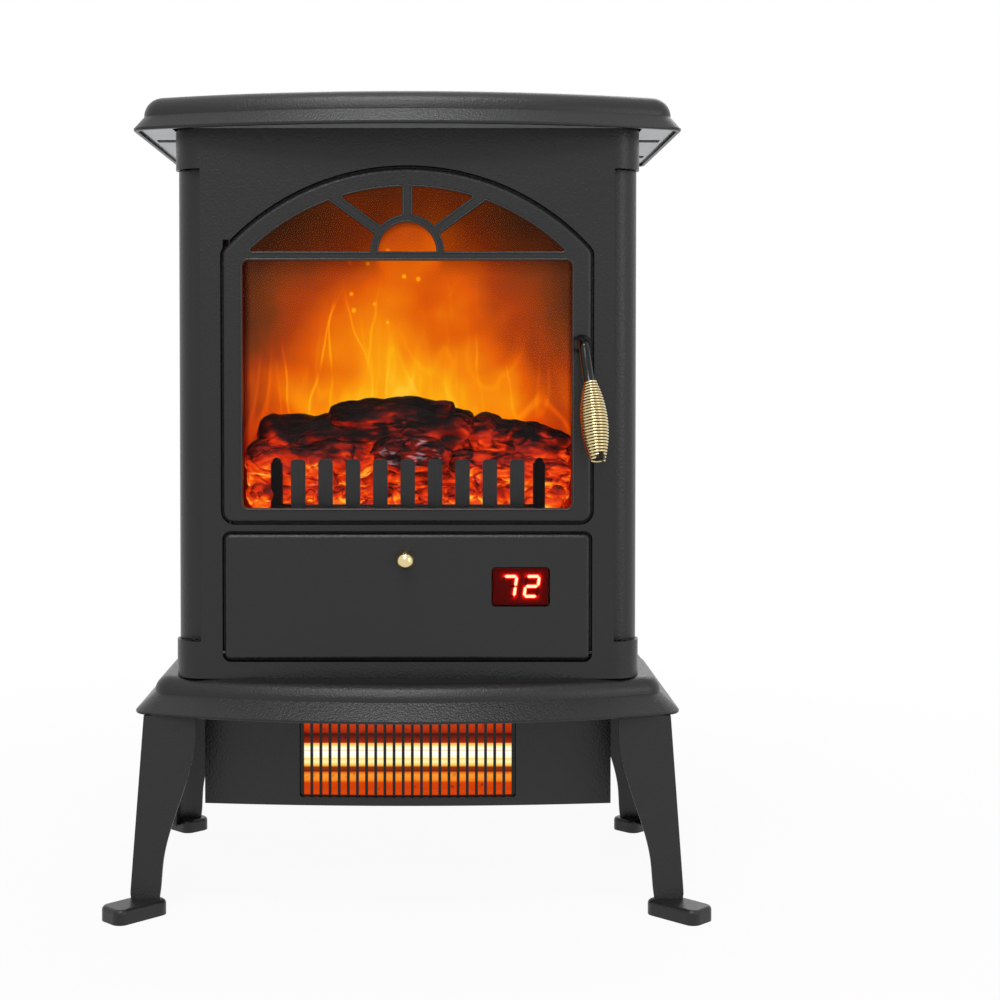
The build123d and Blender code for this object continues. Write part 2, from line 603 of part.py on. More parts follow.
with BuildPart() as flap_knob:
    with BuildSketch(Plane((KNOB_X, FLAP_FRONT, KNOB_Z), x_dir=(1, 0, 0), z_dir=(0, 0, 1))):
        with BuildLine() as outline:
            Polyline((0, FLAP_THICK), (KNOB_NECK_D / 4, FLAP_THICK), (KNOB_NECK_D / 4, 0),
                     (KNOB_NECK_D / 2 + 1.5, 0), (KNOB_NECK_D / 2 + 1.5, -1.2), (KNOB_NECK_D / 2 - 0.4, -1.2),
                     (KNOB_NECK_D / 2 - 0.4, -KNOB_STANDOFF), (0, -KNOB_STANDOFF), (0, FLAP_THICK))
        make_face()
    revolve(axis=Axis((KNOB_X, 0, KNOB_Z), (0, 1, 0)))
    with Locations((KNOB_X, FLAP_FRONT - KNOB_STANDOFF, KNOB_Z)):
        Sphere(KNOB_D / 2)
save(flap_knob, "flap_knob")

with BuildPart() as display_window:
    with BuildSketch(facing(FLAP_FRONT + FLAP_SKIN / 2)):
        with Locations((DISPLAY_X, DISPLAY_Z)):
            RectangleRounded(DISPLAY_W, DISPLAY_H, DISPLAY_R)
    extrude(amount=-LENS)
save(display_window, "display_window")

with BuildPart() as flap_strike_plate:
    with BuildSketch(facing(FLAP_BACK)):
        with Locations((FLAP_CATCH_X, FLAP_TOP - FLAP_EDGE / 2)):
            Rectangle(STRIKE_H, FLAP_EDGE - 2)
    extrude(amount=-STRIKE)
save(flap_strike_plate, "flap_strike_plate")

# ---------------------------------------------------------------- controls behind the flap
PANEL = 2.0
BUTTON_D = 9.0
BUTTON_RUN = 0.1
BUTTON_TRAVEL = 1.5
BUTTON_PROUD = 2.5
BUTTON_Z = 222.0
BUTTON_XS = {"power_button": -100.0, "flame_button": -70.0, "warmer_button": -40.0,
             "cooler_button": -10.0, "timer_button": 20.0}
BUTTON_FLANGE_D = 11.5
BUTTON_FLANGE = 1.2
SWITCH = 3.0            # tact switches on the control board
PANEL_FRONT = FLAP_RIM_BACK
BOARD = 1.6
BOARD_Y = PANEL_FRONT + PANEL + BUTTON_TRAVEL + BUTTON_FLANGE + SWITCH + FACE_GAP
PANEL_HALF = FLAP_HALF + GAP + RIM
SPACER_D = 6.0
SPACERS = [(x, z) for x in (-120.0, 120.0) for z in (192.0, 255.0)]
CATCH_LOW = FLAP_TOP - FLAP_EDGE + 1

with BuildPart() as control_panel:
    with BuildSketch(facing(PANEL_FRONT)):
        flap_outline(GAP + RIM / 2)
        for x in BUTTON_XS.values():
            with Locations((x, BUTTON_Z)):
                Circle(BUTTON_D / 2 + BUTTON_RUN, mode=Mode.SUBTRACT)
        with Locations((DISPLAY_X, DISPLAY_Z)):
            RectangleRounded(DISPLAY_W + 2, DISPLAY_H + 2, DISPLAY_R, mode=Mode.SUBTRACT)
    extrude(amount=-PANEL)
    with BuildSketch(facing(PANEL_FRONT + PANEL)):
        with Locations(*SPACERS):
            Circle(SPACER_D / 2)
    extrude(amount=PANEL_FRONT + PANEL - BOARD_Y)
save(control_panel, "control_panel")

with BuildPart() as flap_catch:
    box_between((FLAP_CATCH_X - STRIKE_H / 2, FLAP_BACK + STRIKE + FACE_GAP, CATCH_LOW),
                (FLAP_CATCH_X + STRIKE_H / 2, PANEL_FRONT, FLAP_TOP + GAP))
save(flap_catch, "flap_catch")

BOARD_H = 76.0
with BuildPart() as control_board:
    with BuildSketch(facing(BOARD_Y)):
        with Locations((0, FLAP_MID)):
            Rectangle(2 * PANEL_HALF - 6, BOARD_H)
    extrude(amount=-BOARD)
    with BuildSketch(facing(BOARD_Y)):
        for x in BUTTON_XS.values():
            with Locations((x, BUTTON_Z)):
                Rectangle(6.0, 6.0)
    extrude(amount=SWITCH)
save(control_board, "control_board")

for name, x in BUTTON_XS.items():
    with BuildPart() as button:
        with Locations(Plane((x, PANEL_FRONT + PANEL, BUTTON_Z), z_dir=(0, -1, 0))):
            Cylinder(BUTTON_D / 2, PANEL + BUTTON_PROUD, align=(Align.CENTER, Align.CENTER, Align.MIN))
        chamfer(button.edges().sort_by(Axis.Y)[0], 0.8)
        with Locations(Plane((x, PANEL_FRONT + PANEL + BUTTON_RUN, BUTTON_Z), z_dir=(0, 1, 0))):
            Cylinder(BUTTON_FLANGE_D / 2, BUTTON_FLANGE, align=(Align.CENTER, Align.CENTER, Align.MIN))
            Cylinder(BUTTON_D / 4, BUTTON_RUN, align=(Align.CENTER, Align.CENTER, Align.MAX))
    save(button, name)

DISPLAY_FRONT = FLAP_FRONT + FLAP_SKIN / 2 + LENS + 6 * FACE_GAP
with BuildPart() as display_module:
    with BuildSketch(facing(BOARD_Y)):
        with Locations((DISPLAY_X, DISPLAY_Z)):
            RectangleRounded(DISPLAY_W - 2, DISPLAY_H - 2, 1.0)
    extrude(amount=BOARD_Y - DISPLAY_FRONT)
    chamfer(display_module.faces().sort_by(Axis.Y)[0].edges(), 0.8)
save(display_module, "display_module")

# ---------------------------------------------------------------- firebox
LINER = 1.5
HEARTH_Z = 279.0        # floor of the firebox
LINER_TOP = 536.0
LINER_HALF = DOOR_HALF + GAP
LINER_BACK = 52.0
SCREEN = 3.0
SCREEN_Y = -2.0
SPINDLE_Y = 24.0
SPINDLE_Z = 305.0
SHAFT_D = 4.0
MOTOR_D = 40.0
MOTOR_W = 14.0
SPINDLE_HALF = 104.0

with BuildPart() as firebox_liner:
    box_between((-LINER_HALF - LINER, DOOR_RIM_BACK, HEARTH_Z - LINER),
                (LINER_HALF + LINER, LINER_BACK + LINER, LINER_TOP + LINER))
    box_between((-LINER_HALF, DOOR_RIM_BACK, HEARTH_Z), (LINER_HALF, LINER_BACK, LINER_TOP), Mode.SUBTRACT)
    # Heat slots in the ceiling
    with BuildSketch(Plane.XY.offset(LINER_TOP)):
        with GridLocations(60.0, 12.0, 3, 3):
            SlotOverall(44.0, 4.0)
    extrude(amount=LINER, mode=Mode.SUBTRACT)
save(firebox_liner, "firebox_liner")

with BuildPart() as flame_screen:
    box_between((-LINER_HALF, SCREEN_Y, HEARTH_Z), (LINER_HALF, SCREEN_Y + SCREEN, LINER_TOP))
save(flame_screen, "flame_screen")

# Moulded ember tray with the log bed standing on it
EMBER_HALF = 116.0
EMBER_FRONT = -51.5
EMBER_BACK = -5.0
EMBER_TOP = 291.0
EMBER_WALL = 2.0
with BuildPart() as ember_bed:
    with BuildSketch(Plane.XY.offset(HEARTH_Z)):
        with Locations((0, (EMBER_FRONT + EMBER_BACK) / 2)):
            RectangleRounded(2 * EMBER_HALF, EMBER_BACK - EMBER_FRONT, 8.0)
    extrude(amount=EMBER_TOP - HEARTH_Z)
    fillet(ember_bed.faces().sort_by(Axis.Z)[-1].edges(), 5.0)
    with BuildSketch(Plane.XY.offset(HEARTH_Z)):
        with Locations((0, (EMBER_FRONT + EMBER_BACK) / 2)):
            RectangleRounded(2 * (EMBER_HALF - EMBER_WALL), EMBER_BACK - EMBER_FRONT - 2 * EMBER_WALL, 6.0)
    extrude(amount=EMBER_TOP - HEARTH_Z - EMBER_WALL - MOULD, mode=Mode.SUBTRACT)
save(ember_bed, "ember_bed")

# Each log: one end, the other end, and its radius at both
LOGS = [((-113, -21, 326), (52, -22, 340), 16, 18),
        ((-34, -29, 343), (60, -28, 338), 14, 13),
        ((46, -25, 333), (117, -23, 316), 17, 14),
        ((-117, -33, 309), (-26, -34, 319), 14, 13),
        ((116, -34, 303), (30, -32, 317), 12, 13),
        ((-112, -18, 301), (112, -19, 303), 14, 15),
        ((-68, -49, 300), (-60, -24, 304), 12.5, 12),
        ((50, -47, 297), (70, -26, 300), 10, 9)]
END_LOG = Vector(2, -54, 322)           # sawn end that faces the front
END_LOG_HALVES = (30, 14)
END_LOG_LENGTH = 30
with BuildPart() as log_set:
    for start, end, r_start, r_end in LOGS:
        run = Vector(*end) - Vector(*start)
        with Locations(Plane(Vector(*start), z_dir=run)):
            Cone(r_start, r_end, run.length, align=(Align.CENTER, Align.CENTER, Align.MIN))
    with BuildSketch(facing(END_LOG.Y)):
        with Locations((END_LOG.X, END_LOG.Z)):
            Ellipse(*END_LOG_HALVES)
    extrude(amount=-END_LOG_LENGTH)
    box_between((-PLATE_HALF, FACE_Y, 0), (PLATE_HALF, 0, EMBER_TOP), Mode.SUBTRACT)
save(log_set, "log_set")

PICKETS = 11
PICKET_PITCH = 20.0
PICKET_W = 10.6
PICKET_TOP = 319.0
PICKET = 1.6
GUARD_Y = -67.0
GUARD_RAIL = 7.0
END_PICKET_TURN = 38.0
GUARD_HALF = PICKET_PITCH * (PICKETS - 3) / 2 + PICKET_W / 2
with BuildPart() as log_guard:
    with BuildSketch(facing(GUARD_Y)):
        with Locations((0, HEARTH_Z + GUARD_RAIL / 2)):
            Rectangle(2 * GUARD_HALF, GUARD_RAIL)
        with Locations((0, (HEARTH_Z + PICKET_TOP) / 2)):
            with GridLocations(PICKET_PITCH, 0, PICKETS - 2, 1):
                RectangleRounded(PICKET_W, PICKET_TOP - HEARTH_Z, 3.0)
        with Locations((0, HEARTH_Z + 1.5)):
            with GridLocations(PICKET_PITCH, 0, PICKETS - 2, 1):
                Rectangle(PICKET_W, 3.0)
    extrude(amount=-PICKET)
    # End pickets, folded back on a short run of the rail
    for side in (-1, 1):
        turned = Plane((side * GUARD_HALF, GUARD_Y, HEARTH_Z), x_dir=(side, 0, 0), z_dir=(0, -side, 0))
        turned = turned.rotated((0, 0, side * END_PICKET_TURN))
        with BuildSketch(turned):
            Rectangle(PICKET_PITCH, GUARD_RAIL, align=(Align.MIN, Align.MIN))
            with Locations((PICKET_PITCH - PICKET_W, 0)):
                Rectangle(PICKET_W, PICKET_TOP - HEARTH_Z - 3.0, align=(Align.MIN, Align.MIN))
            with Locations((PICKET_PITCH - PICKET_W / 2, PICKET_TOP - HEARTH_Z - 3.0)):
                Circle(PICKET_W / 2 - 1.5)
        extrude(amount=-side * PICKET)
save(log_guard, "log_guard")

# ---------------------------------------------------------------- flame spindle
BUSH_D = 12.0
BUSH_W = 8.0
BRACKET = 1.5
BLADE_ROWS = 11
BLADE_PITCH = 17.0
BLADE_R = 17.0
BLADE_W = 9.0
BLADE = 0.8
HUB_D = 7.0
SHAFT_RUN = 0.05

with BuildPart() as spindle_bracket:
    box_between((-LINER_HALF, SPINDLE_Y - 12, HEARTH_Z), (-LINER_HALF + BRACKET, SPINDLE_Y + 12, SPINDLE_Z + 12))
    with Locations(Plane((-LINER_HALF, SPINDLE_Y, SPINDLE_Z), x_dir=(0, 1, 0), z_dir=(1, 0, 0))):
        Cylinder(BUSH_D / 2, BUSH_W, align=(Align.CENTER, Align.CENTER, Align.MIN))
        Cylinder(SHAFT_D / 2 + SHAFT_RUN, 4 * BUSH_W, mode=Mode.SUBTRACT)
save(spindle_bracket, "spindle_bracket")

with BuildPart() as spindle_motor:
    with Locations(Plane((LINER_HALF, SPINDLE_Y, SPINDLE_Z), x_dir=(0, 1, 0), z_dir=(-1, 0, 0))):
        Cylinder(MOTOR_D / 2, MOTOR_W, align=(Align.CENTER, Align.CENTER, Align.MIN))
        Cylinder(BUSH_D / 2, MOTOR_W + 2, align=(Align.CENTER, Align.CENTER, Align.MIN))
        Cylinder(SHAFT_D / 2 + SHAFT_RUN, 4 * MOTOR_W, mode=Mode.SUBTRACT)
save(spindle_motor, "spindle_motor")

with BuildPart() as spindle_shaft:
    box_low = -LINER_HALF + 1
    with Locations(Plane((box_low, SPINDLE_Y, SPINDLE_Z), x_dir=(0, 1, 0), z_dir=(1, 0, 0))):
        Cylinder(SHAFT_D / 2, 2 * LINER_HALF - 6, align=(Align.CENTER, Align.CENTER, Align.MIN))
save(spindle_shaft, "spindle_shaft")

with BuildPart() as reflector_blades:
    with Locations(Plane((0, SPINDLE_Y, SPINDLE_Z), x_dir=(0, 1, 0), z_dir=(1, 0, 0))):
        Cylinder(HUB_D / 2, 2 * SPINDLE_HALF)
    for row in range(BLADE_ROWS):
        x = (row - (BLADE_ROWS - 1) / 2) * BLADE_PITCH
        for blade in range(3):
            turned = Plane((x, SPINDLE_Y, SPINDLE_Z), x_dir=(1, 0, 0), z_dir=(0, 0, 1))
            turned = turned.rotated((blade * 120.0 + row * 35.0, 0, 0))
            with Locations(turned):
                Box(BLADE_W, BLADE_R, BLADE, align=(Align.CENTER, Align.MIN, Align.CENTER))
    with Locations(Plane((0, SPINDLE_Y, SPINDLE_Z), x_dir=(0, 1, 0), z_dir=(1, 0, 0))):
        Cylinder(SHAFT_D / 2, 4 * SPINDLE_HALF, mode=Mode.SUBTRACT)
save(reflector_blades, "reflector_blades")

with BuildPart() as flame_light_board:
    box_between((-110, LINER_BACK - BOARD, HEARTH_Z + 6), (110, LINER_BACK, HEARTH_Z + 46))
    with Locations((0, LINER_BACK - BOARD, HEARTH_Z + 26)):
        with GridLocations(22.0, 0, 9, 1):
            Box(5.0, 3.0, 5.0, align=(Align.CENTER, Align.MAX, Align.CENTER))
save(flame_light_board, "flame_light_board")

# ---------------------------------------------------------------- legs
LEG_TOP_OUT = 188.6     # outer faces of a leg at its top and at the floor, in X
LEG_FOOT_OUT = 196.6
LEG_TOP_FRONT = 97.0    # the same in Y
LEG_FOOT_FRONT = 115.8
LEG_FLANGES = [(0.0, 19.0), (15.0, 21.3), (35.5, 21.7), (79.0, 31.0), (98.0, 35.5), (SHELF_BOTTOM, 37.0)]
LEG_EDGE_R = 15.0
LEG_FLANGE = 3.0
TOE_TIP_R = 7.0
TOE_X = 206.0           # centres of the toe's rounded tip
TOE_Y = 128.5
TOE_SPREAD = 7.5
TOE_LENGTH = 44.0
TOE_H = 10.5
TOE_TOP_R = 3.0


def leg_profile(top_out, foot_out, inset, inner, mode=Mode.ADD):
    """Draw one side view of a leg: local x outwards, local y up; inset thins the outer side."""
    flange = [(foot_out + (top_out - foot_out) * z / SHELF_BOTTOM - width, z) for z, width in LEG_FLANGES]
    with BuildLine() as line:
        Line((top_out - inset, SHELF_BOTTOM), (foot_out - inset, 0))
        if inner:
            Spline(*flange)
            Line((foot_out - inset, 0), flange[0])
            Line(flange[-1], (top_out - inset, SHELF_BOTTOM))
        else:
            Polyline((foot_out - inset, 0), (0, 0), (0, SHELF_BOTTOM), (top_out - inset, SHELF_BOTTOM))
    make_face(line.edges(), mode=mode)


def make_leg(inset, inner):
    """The solid under both side views of the right rear leg."""
    with BuildPart(mode=Mode.PRIVATE) as leg:
        with BuildSketch(Plane.XZ):
            leg_profile(LEG_TOP_OUT, LEG_FOOT_OUT, inset, inner)
        extrude(amount=-2 * PLAN_REAR)
        with BuildSketch(Plane.YZ):
            leg_profile(LEG_TOP_FRONT, LEG_FOOT_FRONT, inset, inner)
        extrude(amount=2 * PLAN_HALF, mode=Mode.INTERSECT)
        fillet(leg.edges().filter_by(Axis.Z, reverse=True).sort_by(lambda e: -e.center().X - e.center().Y)[0],
               LEG_EDGE_R - inset)
    return leg.part


with BuildPart() as rear_right_leg:
    add(make_leg(0, True))
    # Hollow behind the two flanges, under the mounting flange
    with BuildPart(mode=Mode.PRIVATE) as hollow:
        add(make_leg(MOULD, False))
        box_between((0, 0, SHELF_BOTTOM - LEG_FLANGE), (PLAN_HALF, PLAN_REAR, SHELF_BOTTOM), Mode.SUBTRACT)
    add(hollow.part, mode=Mode.SUBTRACT)
    # Toe, pointing out of the corner
    tip = (TOE_X - TOE_SPREAD / 2, TOE_Y + TOE_SPREAD / 2)
    back = (TOE_LENGTH / 2 - TOE_TIP_R) / sqrt(2)
    with BuildPart(mode=Mode.PRIVATE) as toe:
        with BuildSketch(Plane.XY):
            with Locations((tip[0] - back, tip[1] - back)):
                RectangleRounded(TOE_LENGTH, TOE_SPREAD * sqrt(2) + 2 * TOE_TIP_R, TOE_TIP_R, rotation=45)
        extrude(amount=TOE_H)
        fillet(toe.faces().sort_by(Axis.Z)[-1].edges(), TOE_TOP_R)
    add(toe.part)
    with Locations(*[(x, y, SHELF_BOTTOM) for x, y in LEG_BOSSES]):
        Hole(SCREW_D / 2, depth=LEG_FLANGE)
save(rear_right_leg, "rear_right_leg")

with BuildPart() as rear_left_leg:
    mirror(rear_right_leg.part, about=Plane.YZ)
save(rear_left_leg, "rear_left_leg")

with BuildPart() as front_right_leg:
    mirror(rear_right_leg.part, about=Plane.XZ)
save(front_right_leg, "front_right_leg")

with BuildPart() as front_left_leg:
    mirror(front_right_leg.part, about=Plane.YZ)
save(front_left_leg, "front_left_leg")

# ---------------------------------------------------------------- heater
HEATER_HALF = 149.0
HEATER_FRONT = -73.0    # middle of the bowed front
HEATER_ENDS = -64.0     # its two ends
HEATER_BOTTOM = 66.0
HEATER_BACK = 75.0
HEATER_TOP = SHELF_TOP - MOULD          # the heater hangs from the shelf's deck
GRILLE_HALF = 79.0
GRILLE_BOTTOM = 72.0
GRILLE_TOP = 134.0
BARS = 24
BAR_PITCH = 6.7
BAR_W = 2.1
BAR_DEEP = 4.0
GRILLE_FRAME = 3.0
TUBE_D = 11.0
TUBES = [(-44.0, 100.5), (-30.0, 87.0)]      # Y and Z of the two quartz tubes
CAP = 14.0
CAP_L = 12.0
REFLECTOR = 1.0
REFLECTOR_HALF = 96.0
TUBE_HALF = REFLECTOR_HALF - 6.0
REFLECTOR_FRONT = -58.0
REFLECTOR_BACK = -8.0


def bow(offset, half):
    """Arc of the heater's bowed front, moved back by offset."""
    depth = HEATER_ENDS - HEATER_FRONT
    ends = HEATER_FRONT + offset + depth * (half / HEATER_HALF) ** 2
    return ThreePointArc((-half, ends), (0, HEATER_FRONT + offset), (half, ends))


def bow_band(offset, depth, half, mode=Mode.ADD):
    """Draw the plan of a band that follows the bowed front."""
    with BuildLine() as line:
        front = bow(offset, half)
        rear = bow(offset + depth, half)
        Line(front @ 0, rear @ 0)
        Line(front @ 1, rear @ 1)
    make_face(line.edges(), mode=mode)


with BuildPart() as heater_front:
    with BuildSketch(Plane.XY.offset(HEATER_BOTTOM)):
        bow_band(0, MOULD, HEATER_HALF)
    extrude(amount=HEATER_TOP - HEATER_BOTTOM)
    with BuildSketch(facing(HEATER_FRONT)):
        with Locations((0, (GRILLE_BOTTOM + GRILLE_TOP) / 2)):
            RectangleRounded(2 * GRILLE_HALF, GRILLE_TOP - GRILLE_BOTTOM, 2.0)
    extrude(amount=HEATER_FRONT - HEATER_ENDS - MOULD, mode=Mode.SUBTRACT)
save(heater_front, "heater_front")

with BuildPart() as heater_grille:
    with BuildSketch(Plane.XY.offset(GRILLE_BOTTOM - GRILLE_FRAME)):
        bow_band(MOULD, BAR_DEEP, GRILLE_HALF + GRILLE_FRAME)
    extrude(amount=GRILLE_TOP - GRILLE_BOTTOM + 2 * GRILLE_FRAME - 1)
    # The gaps between the upright bars
    with Locations((0, HEATER_ENDS, (GRILLE_BOTTOM + GRILLE_TOP) / 2)):
        with GridLocations(BAR_PITCH, 0, BARS - 1, 1):
            Box(BAR_PITCH - BAR_W, 4 * BAR_DEEP + HEATER_ENDS - HEATER_FRONT, GRILLE_TOP - GRILLE_BOTTOM - 1,
                mode=Mode.SUBTRACT)
save(heater_grille, "heater_grille")

INTAKE_W = 70.0
INTAKE_H = 4.0
with BuildPart() as heater_housing:
    box_between((-HEATER_HALF, HEATER_ENDS + MOULD, HEATER_BOTTOM), (HEATER_HALF, HEATER_BACK, HEATER_TOP))
    box_between((-HEATER_HALF + SHEET, HEATER_ENDS + MOULD, HEATER_BOTTOM + SHEET),
                (HEATER_HALF - SHEET, HEATER_BACK - SHEET, HEATER_TOP), Mode.SUBTRACT)
    with BuildSketch(Plane.XY.offset(HEATER_BOTTOM)):
        bow_band(MOULD + FACE_GAP, HEATER_ENDS - HEATER_FRONT, HEATER_HALF - SHEET)
    extrude(amount=SHEET)
    with BuildSketch(Plane((0, HEATER_BACK, (HEATER_BOTTOM + SHELF_BOTTOM) / 2), x_dir=(-1, 0, 0), z_dir=(0, 1, 0))):
        with GridLocations(INTAKE_W + 12, 9.0, 3, 5):
            SlotOverall(INTAKE_W, INTAKE_H)
    extrude(amount=-SHEET, mode=Mode.SUBTRACT)
save(heater_housing, "heater_housing")

with BuildPart() as quartz_tubes:
    for y, z in TUBES:
        with Locations(Plane((0, y, z), x_dir=(0, 1, 0), z_dir=(1, 0, 0))):
            Cylinder(TUBE_D / 2, 2 * TUBE_HALF)
save(quartz_tubes, "quartz_tubes")

with BuildPart() as tube_end_caps:
    for side in (-1, 1):
        for y, z in TUBES:
            with Locations((side * (REFLECTOR_HALF - CAP_L / 2), y, z)):
                Box(CAP_L, CAP, CAP - 1)
    for y, z in TUBES:
        with Locations(Plane((0, y, z), x_dir=(0, 1, 0), z_dir=(1, 0, 0))):
            Cylinder(TUBE_D / 2, 2 * TUBE_HALF, mode=Mode.SUBTRACT)
save(tube_end_caps, "tube_end_caps")

with BuildPart() as heater_reflector:
    with BuildSketch(Plane((-REFLECTOR_HALF, 0, 0), x_dir=(0, 1, 0), z_dir=(1, 0, 0))):
        for inset, mode in ((0, Mode.ADD), (REFLECTOR, Mode.SUBTRACT)):
            low, high = HEATER_BOTTOM + SHEET + inset, SHELF_BOTTOM - 1 - inset
            with BuildLine() as line:
                Line((REFLECTOR_FRONT, low), (REFLECTOR_BACK - 24, low))
                ThreePointArc((REFLECTOR_BACK - 24, low), (REFLECTOR_BACK - inset, (low + high) / 2),
                              (REFLECTOR_BACK - 24, high))
                Polyline((REFLECTOR_BACK - 24, high), (REFLECTOR_FRONT, high), (REFLECTOR_FRONT, low))
            make_face(line.edges(), mode=mode)
    extrude(amount=2 * REFLECTOR_HALF)
    # Ends that carry the tubes
    for side in (-1, 1):
        x = side * (REFLECTOR_HALF + REFLECTOR / 2)
        with Locations((x, (REFLECTOR_FRONT + REFLECTOR_BACK) / 2, (HEATER_BOTTOM + SHEET + SHELF_BOTTOM - 1) / 2)):
            Box(REFLECTOR, REFLECTOR_BACK - REFLECTOR_FRONT, SHELF_BOTTOM - HEATER_BOTTOM - SHEET - 1)
save(heater_reflector, "heater_reflector")

# ---------------------------------------------------------------- blower
WHEEL_Y = 40.0
WHEEL_Z = 108.0
WHEEL_R = 19.0
WHEEL_HALF = 78.0
WHEEL_DISC = 1.5
WHEEL_BLADES = 16
VANE_L = 8.0
VANE = 0.9
SCROLL = 1.2
SCROLL_GAP = 3.0
SCROLL_HALF = 84.0
BLOWER_MOTOR_D = 34.0
BLOWER_MOTOR_L = 34.0

WHEEL_PLANE = Plane((0, WHEEL_Y, WHEEL_Z), x_dir=(0, 1, 0), z_dir=(1, 0, 0))
with BuildPart() as blower_wheel:
    for x in (-WHEEL_HALF, -WHEEL_DISC / 2, WHEEL_HALF - WHEEL_DISC):
        with BuildSketch(WHEEL_PLANE.offset(x)):
            Circle(WHEEL_R)
        extrude(amount=WHEEL_DISC)
    with BuildSketch(WHEEL_PLANE.offset(-WHEEL_HALF)):
        with PolarLocations(WHEEL_R - VANE_L / 2 - 0.5, WHEEL_BLADES):
            Rectangle(VANE_L, VANE, rotation=25)
    extrude(amount=2 * WHEEL_HALF)
    with Locations(WHEEL_PLANE):
        Cylinder(SHAFT_D / 2, 2 * SCROLL_HALF + 12)
save(blower_wheel, "blower_wheel")

with BuildPart() as blower_housing:
    outer = WHEEL_R + SCROLL_GAP + SCROLL
    with BuildSketch(WHEEL_PLANE.offset(-SCROLL_HALF)):
        Circle(outer)

        Circle(outer - SCROLL, mode=Mode.SUBTRACT)
        # open to the duct above and to the heater in front
        Rectangle(4 * WHEEL_R, 4 * WHEEL_R, align=(Align.MAX, Align.MIN), mode=Mode.SUBTRACT)
    extrude(amount=2 * SCROLL_HALF)
    for side in (-1, 1):
        x = side * (SCROLL_HALF - SCROLL / 2)
        with Locations((x, WHEEL_Y, (HEATER_BOTTOM + SHEET + HEATER_TOP) / 2)):
            Box(SCROLL, 2 * outer, HEATER_TOP - HEATER_BOTTOM - SHEET)
    with Locations(WHEEL_PLANE):
        Cylinder(SHAFT_D / 2 + SHAFT_RUN, 4 * SCROLL_HALF, mode=Mode.SUBTRACT)
save(blower_housing, "blower_housing")

with BuildPart() as blower_motor:
    with Locations(WHEEL_PLANE.offset(SCROLL_HALF)):
        Cylinder(BLOWER_MOTOR_D / 2, BLOWER_MOTOR_L, align=(Align.CENTER, Align.CENTER, Align.MIN))
        Cylinder(SHAFT_D / 2 + SHAFT_RUN, 4 * SCROLL_HALF, mode=Mode.SUBTRACT)
save(blower_motor, "blower_motor")

with BuildPart() as thermal_cutout:
    with Locations((0, REFLECTOR_BACK, (HEATER_BOTTOM + SHEET + SHELF_BOTTOM - 1) / 2)):
        Box(24.0, 3.0, 10.0, align=(Align.CENTER, Align.MIN, Align.CENTER))
    with Locations(Plane((0, REFLECTOR_BACK + 3.0, (HEATER_BOTTOM + SHEET + SHELF_BOTTOM - 1) / 2), z_dir=(0, 1, 0))):
        Cylinder(6.5, 6.0, align=(Align.CENTER, Align.CENTER, Align.MIN))
save(thermal_cutout, "thermal_cutout")

# ---------------------------------------------------------------- electrics
POWER_X = -20.0
POWER_Y = 60.0
POWER_W = 110.0
POWER_D = 70.0
STANDOFF = 6.0
with BuildPart() as power_board:
    with Locations((POWER_X, POWER_Y + 35, SHELF_TOP + STANDOFF)):
        Box(POWER_W, POWER_D - 34, BOARD, align=(Align.CENTER, Align.CENTER, Align.MIN))
    for dx, dy, w, d, h in ((-38, 0, 26, 22, 20), (-8, -4, 18, 15, 15), (14, -4, 18, 15, 15), (40, 4, 22, 12, 24)):
        with Locations((POWER_X + dx, POWER_Y + 35 + dy, SHELF_TOP + STANDOFF + BOARD)):
            Box(w, d, h, align=(Align.CENTER, Align.CENTER, Align.MIN))
    with Locations((POWER_X, POWER_Y + 35, SHELF_TOP)):
        with GridLocations(POWER_W - 10, POWER_D - 44, 2, 2):
            Cylinder(SPACER_D / 2, STANDOFF, align=(Align.CENTER, Align.CENTER, Align.MIN))
save(power_board, "power_board")

with BuildPart() as tip_over_switch:
    with Locations((110.0, 95.0, SHELF_TOP)):
        Box(28.0, 12.0, 20.0, align=(Align.CENTER, Align.CENTER, Align.MIN))
    chamfer(tip_over_switch.edges().filter_by(Axis.Z), 1.0)
save(tip_over_switch, "tip_over_switch")

with BuildPart() as ember_light_board:
    with Locations((0, (EMBER_FRONT + EMBER_BACK) / 2, HEARTH_Z)):
        Box(180.0, 12.0, BOARD, align=(Align.CENTER, Align.CENTER, Align.MIN))
    with Locations((0, (EMBER_FRONT + EMBER_BACK) / 2, HEARTH_Z + BOARD)):
        with GridLocations(22.0, 0, 8, 1):
            Box(5.0, 5.0, 2.0, align=(Align.CENTER, Align.CENTER, Align.MIN))
save(ember_light_board, "ember_light_board")

GLAND_D = 20.0
GLAND_OUT = 5.0
GLAND_IN = 6.0
with BuildPart() as cord_gland:
    with Locations(Plane((GLAND_X, BODY_BACK, GLAND_Z), z_dir=(0, 1, 0))):
        Cylinder(GLAND_D / 2, GLAND_OUT, align=(Align.CENTER, Align.CENTER, Align.MIN))
    fillet(cord_gland.edges().sort_by(Axis.Y)[-1], 2.0)
    with Locations(Plane((GLAND_X, PANEL_BACK, GLAND_Z), z_dir=(0, -1, 0))):
        Cylinder(GLAND_D / 2 - 1.5, GLAND_IN, align=(Align.CENTER, Align.CENTER, Align.MIN))
    with Locations(Plane((GLAND_X, BODY_BACK, GLAND_Z), z_dir=(0, 1, 0))):
        Cylinder(GLAND_NECK / 2, 2 * SHEET)
        Cylinder(GLAND_BORE / 2, 8 * GLAND_IN, mode=Mode.SUBTRACT)
save(cord_gland, "cord_gland")

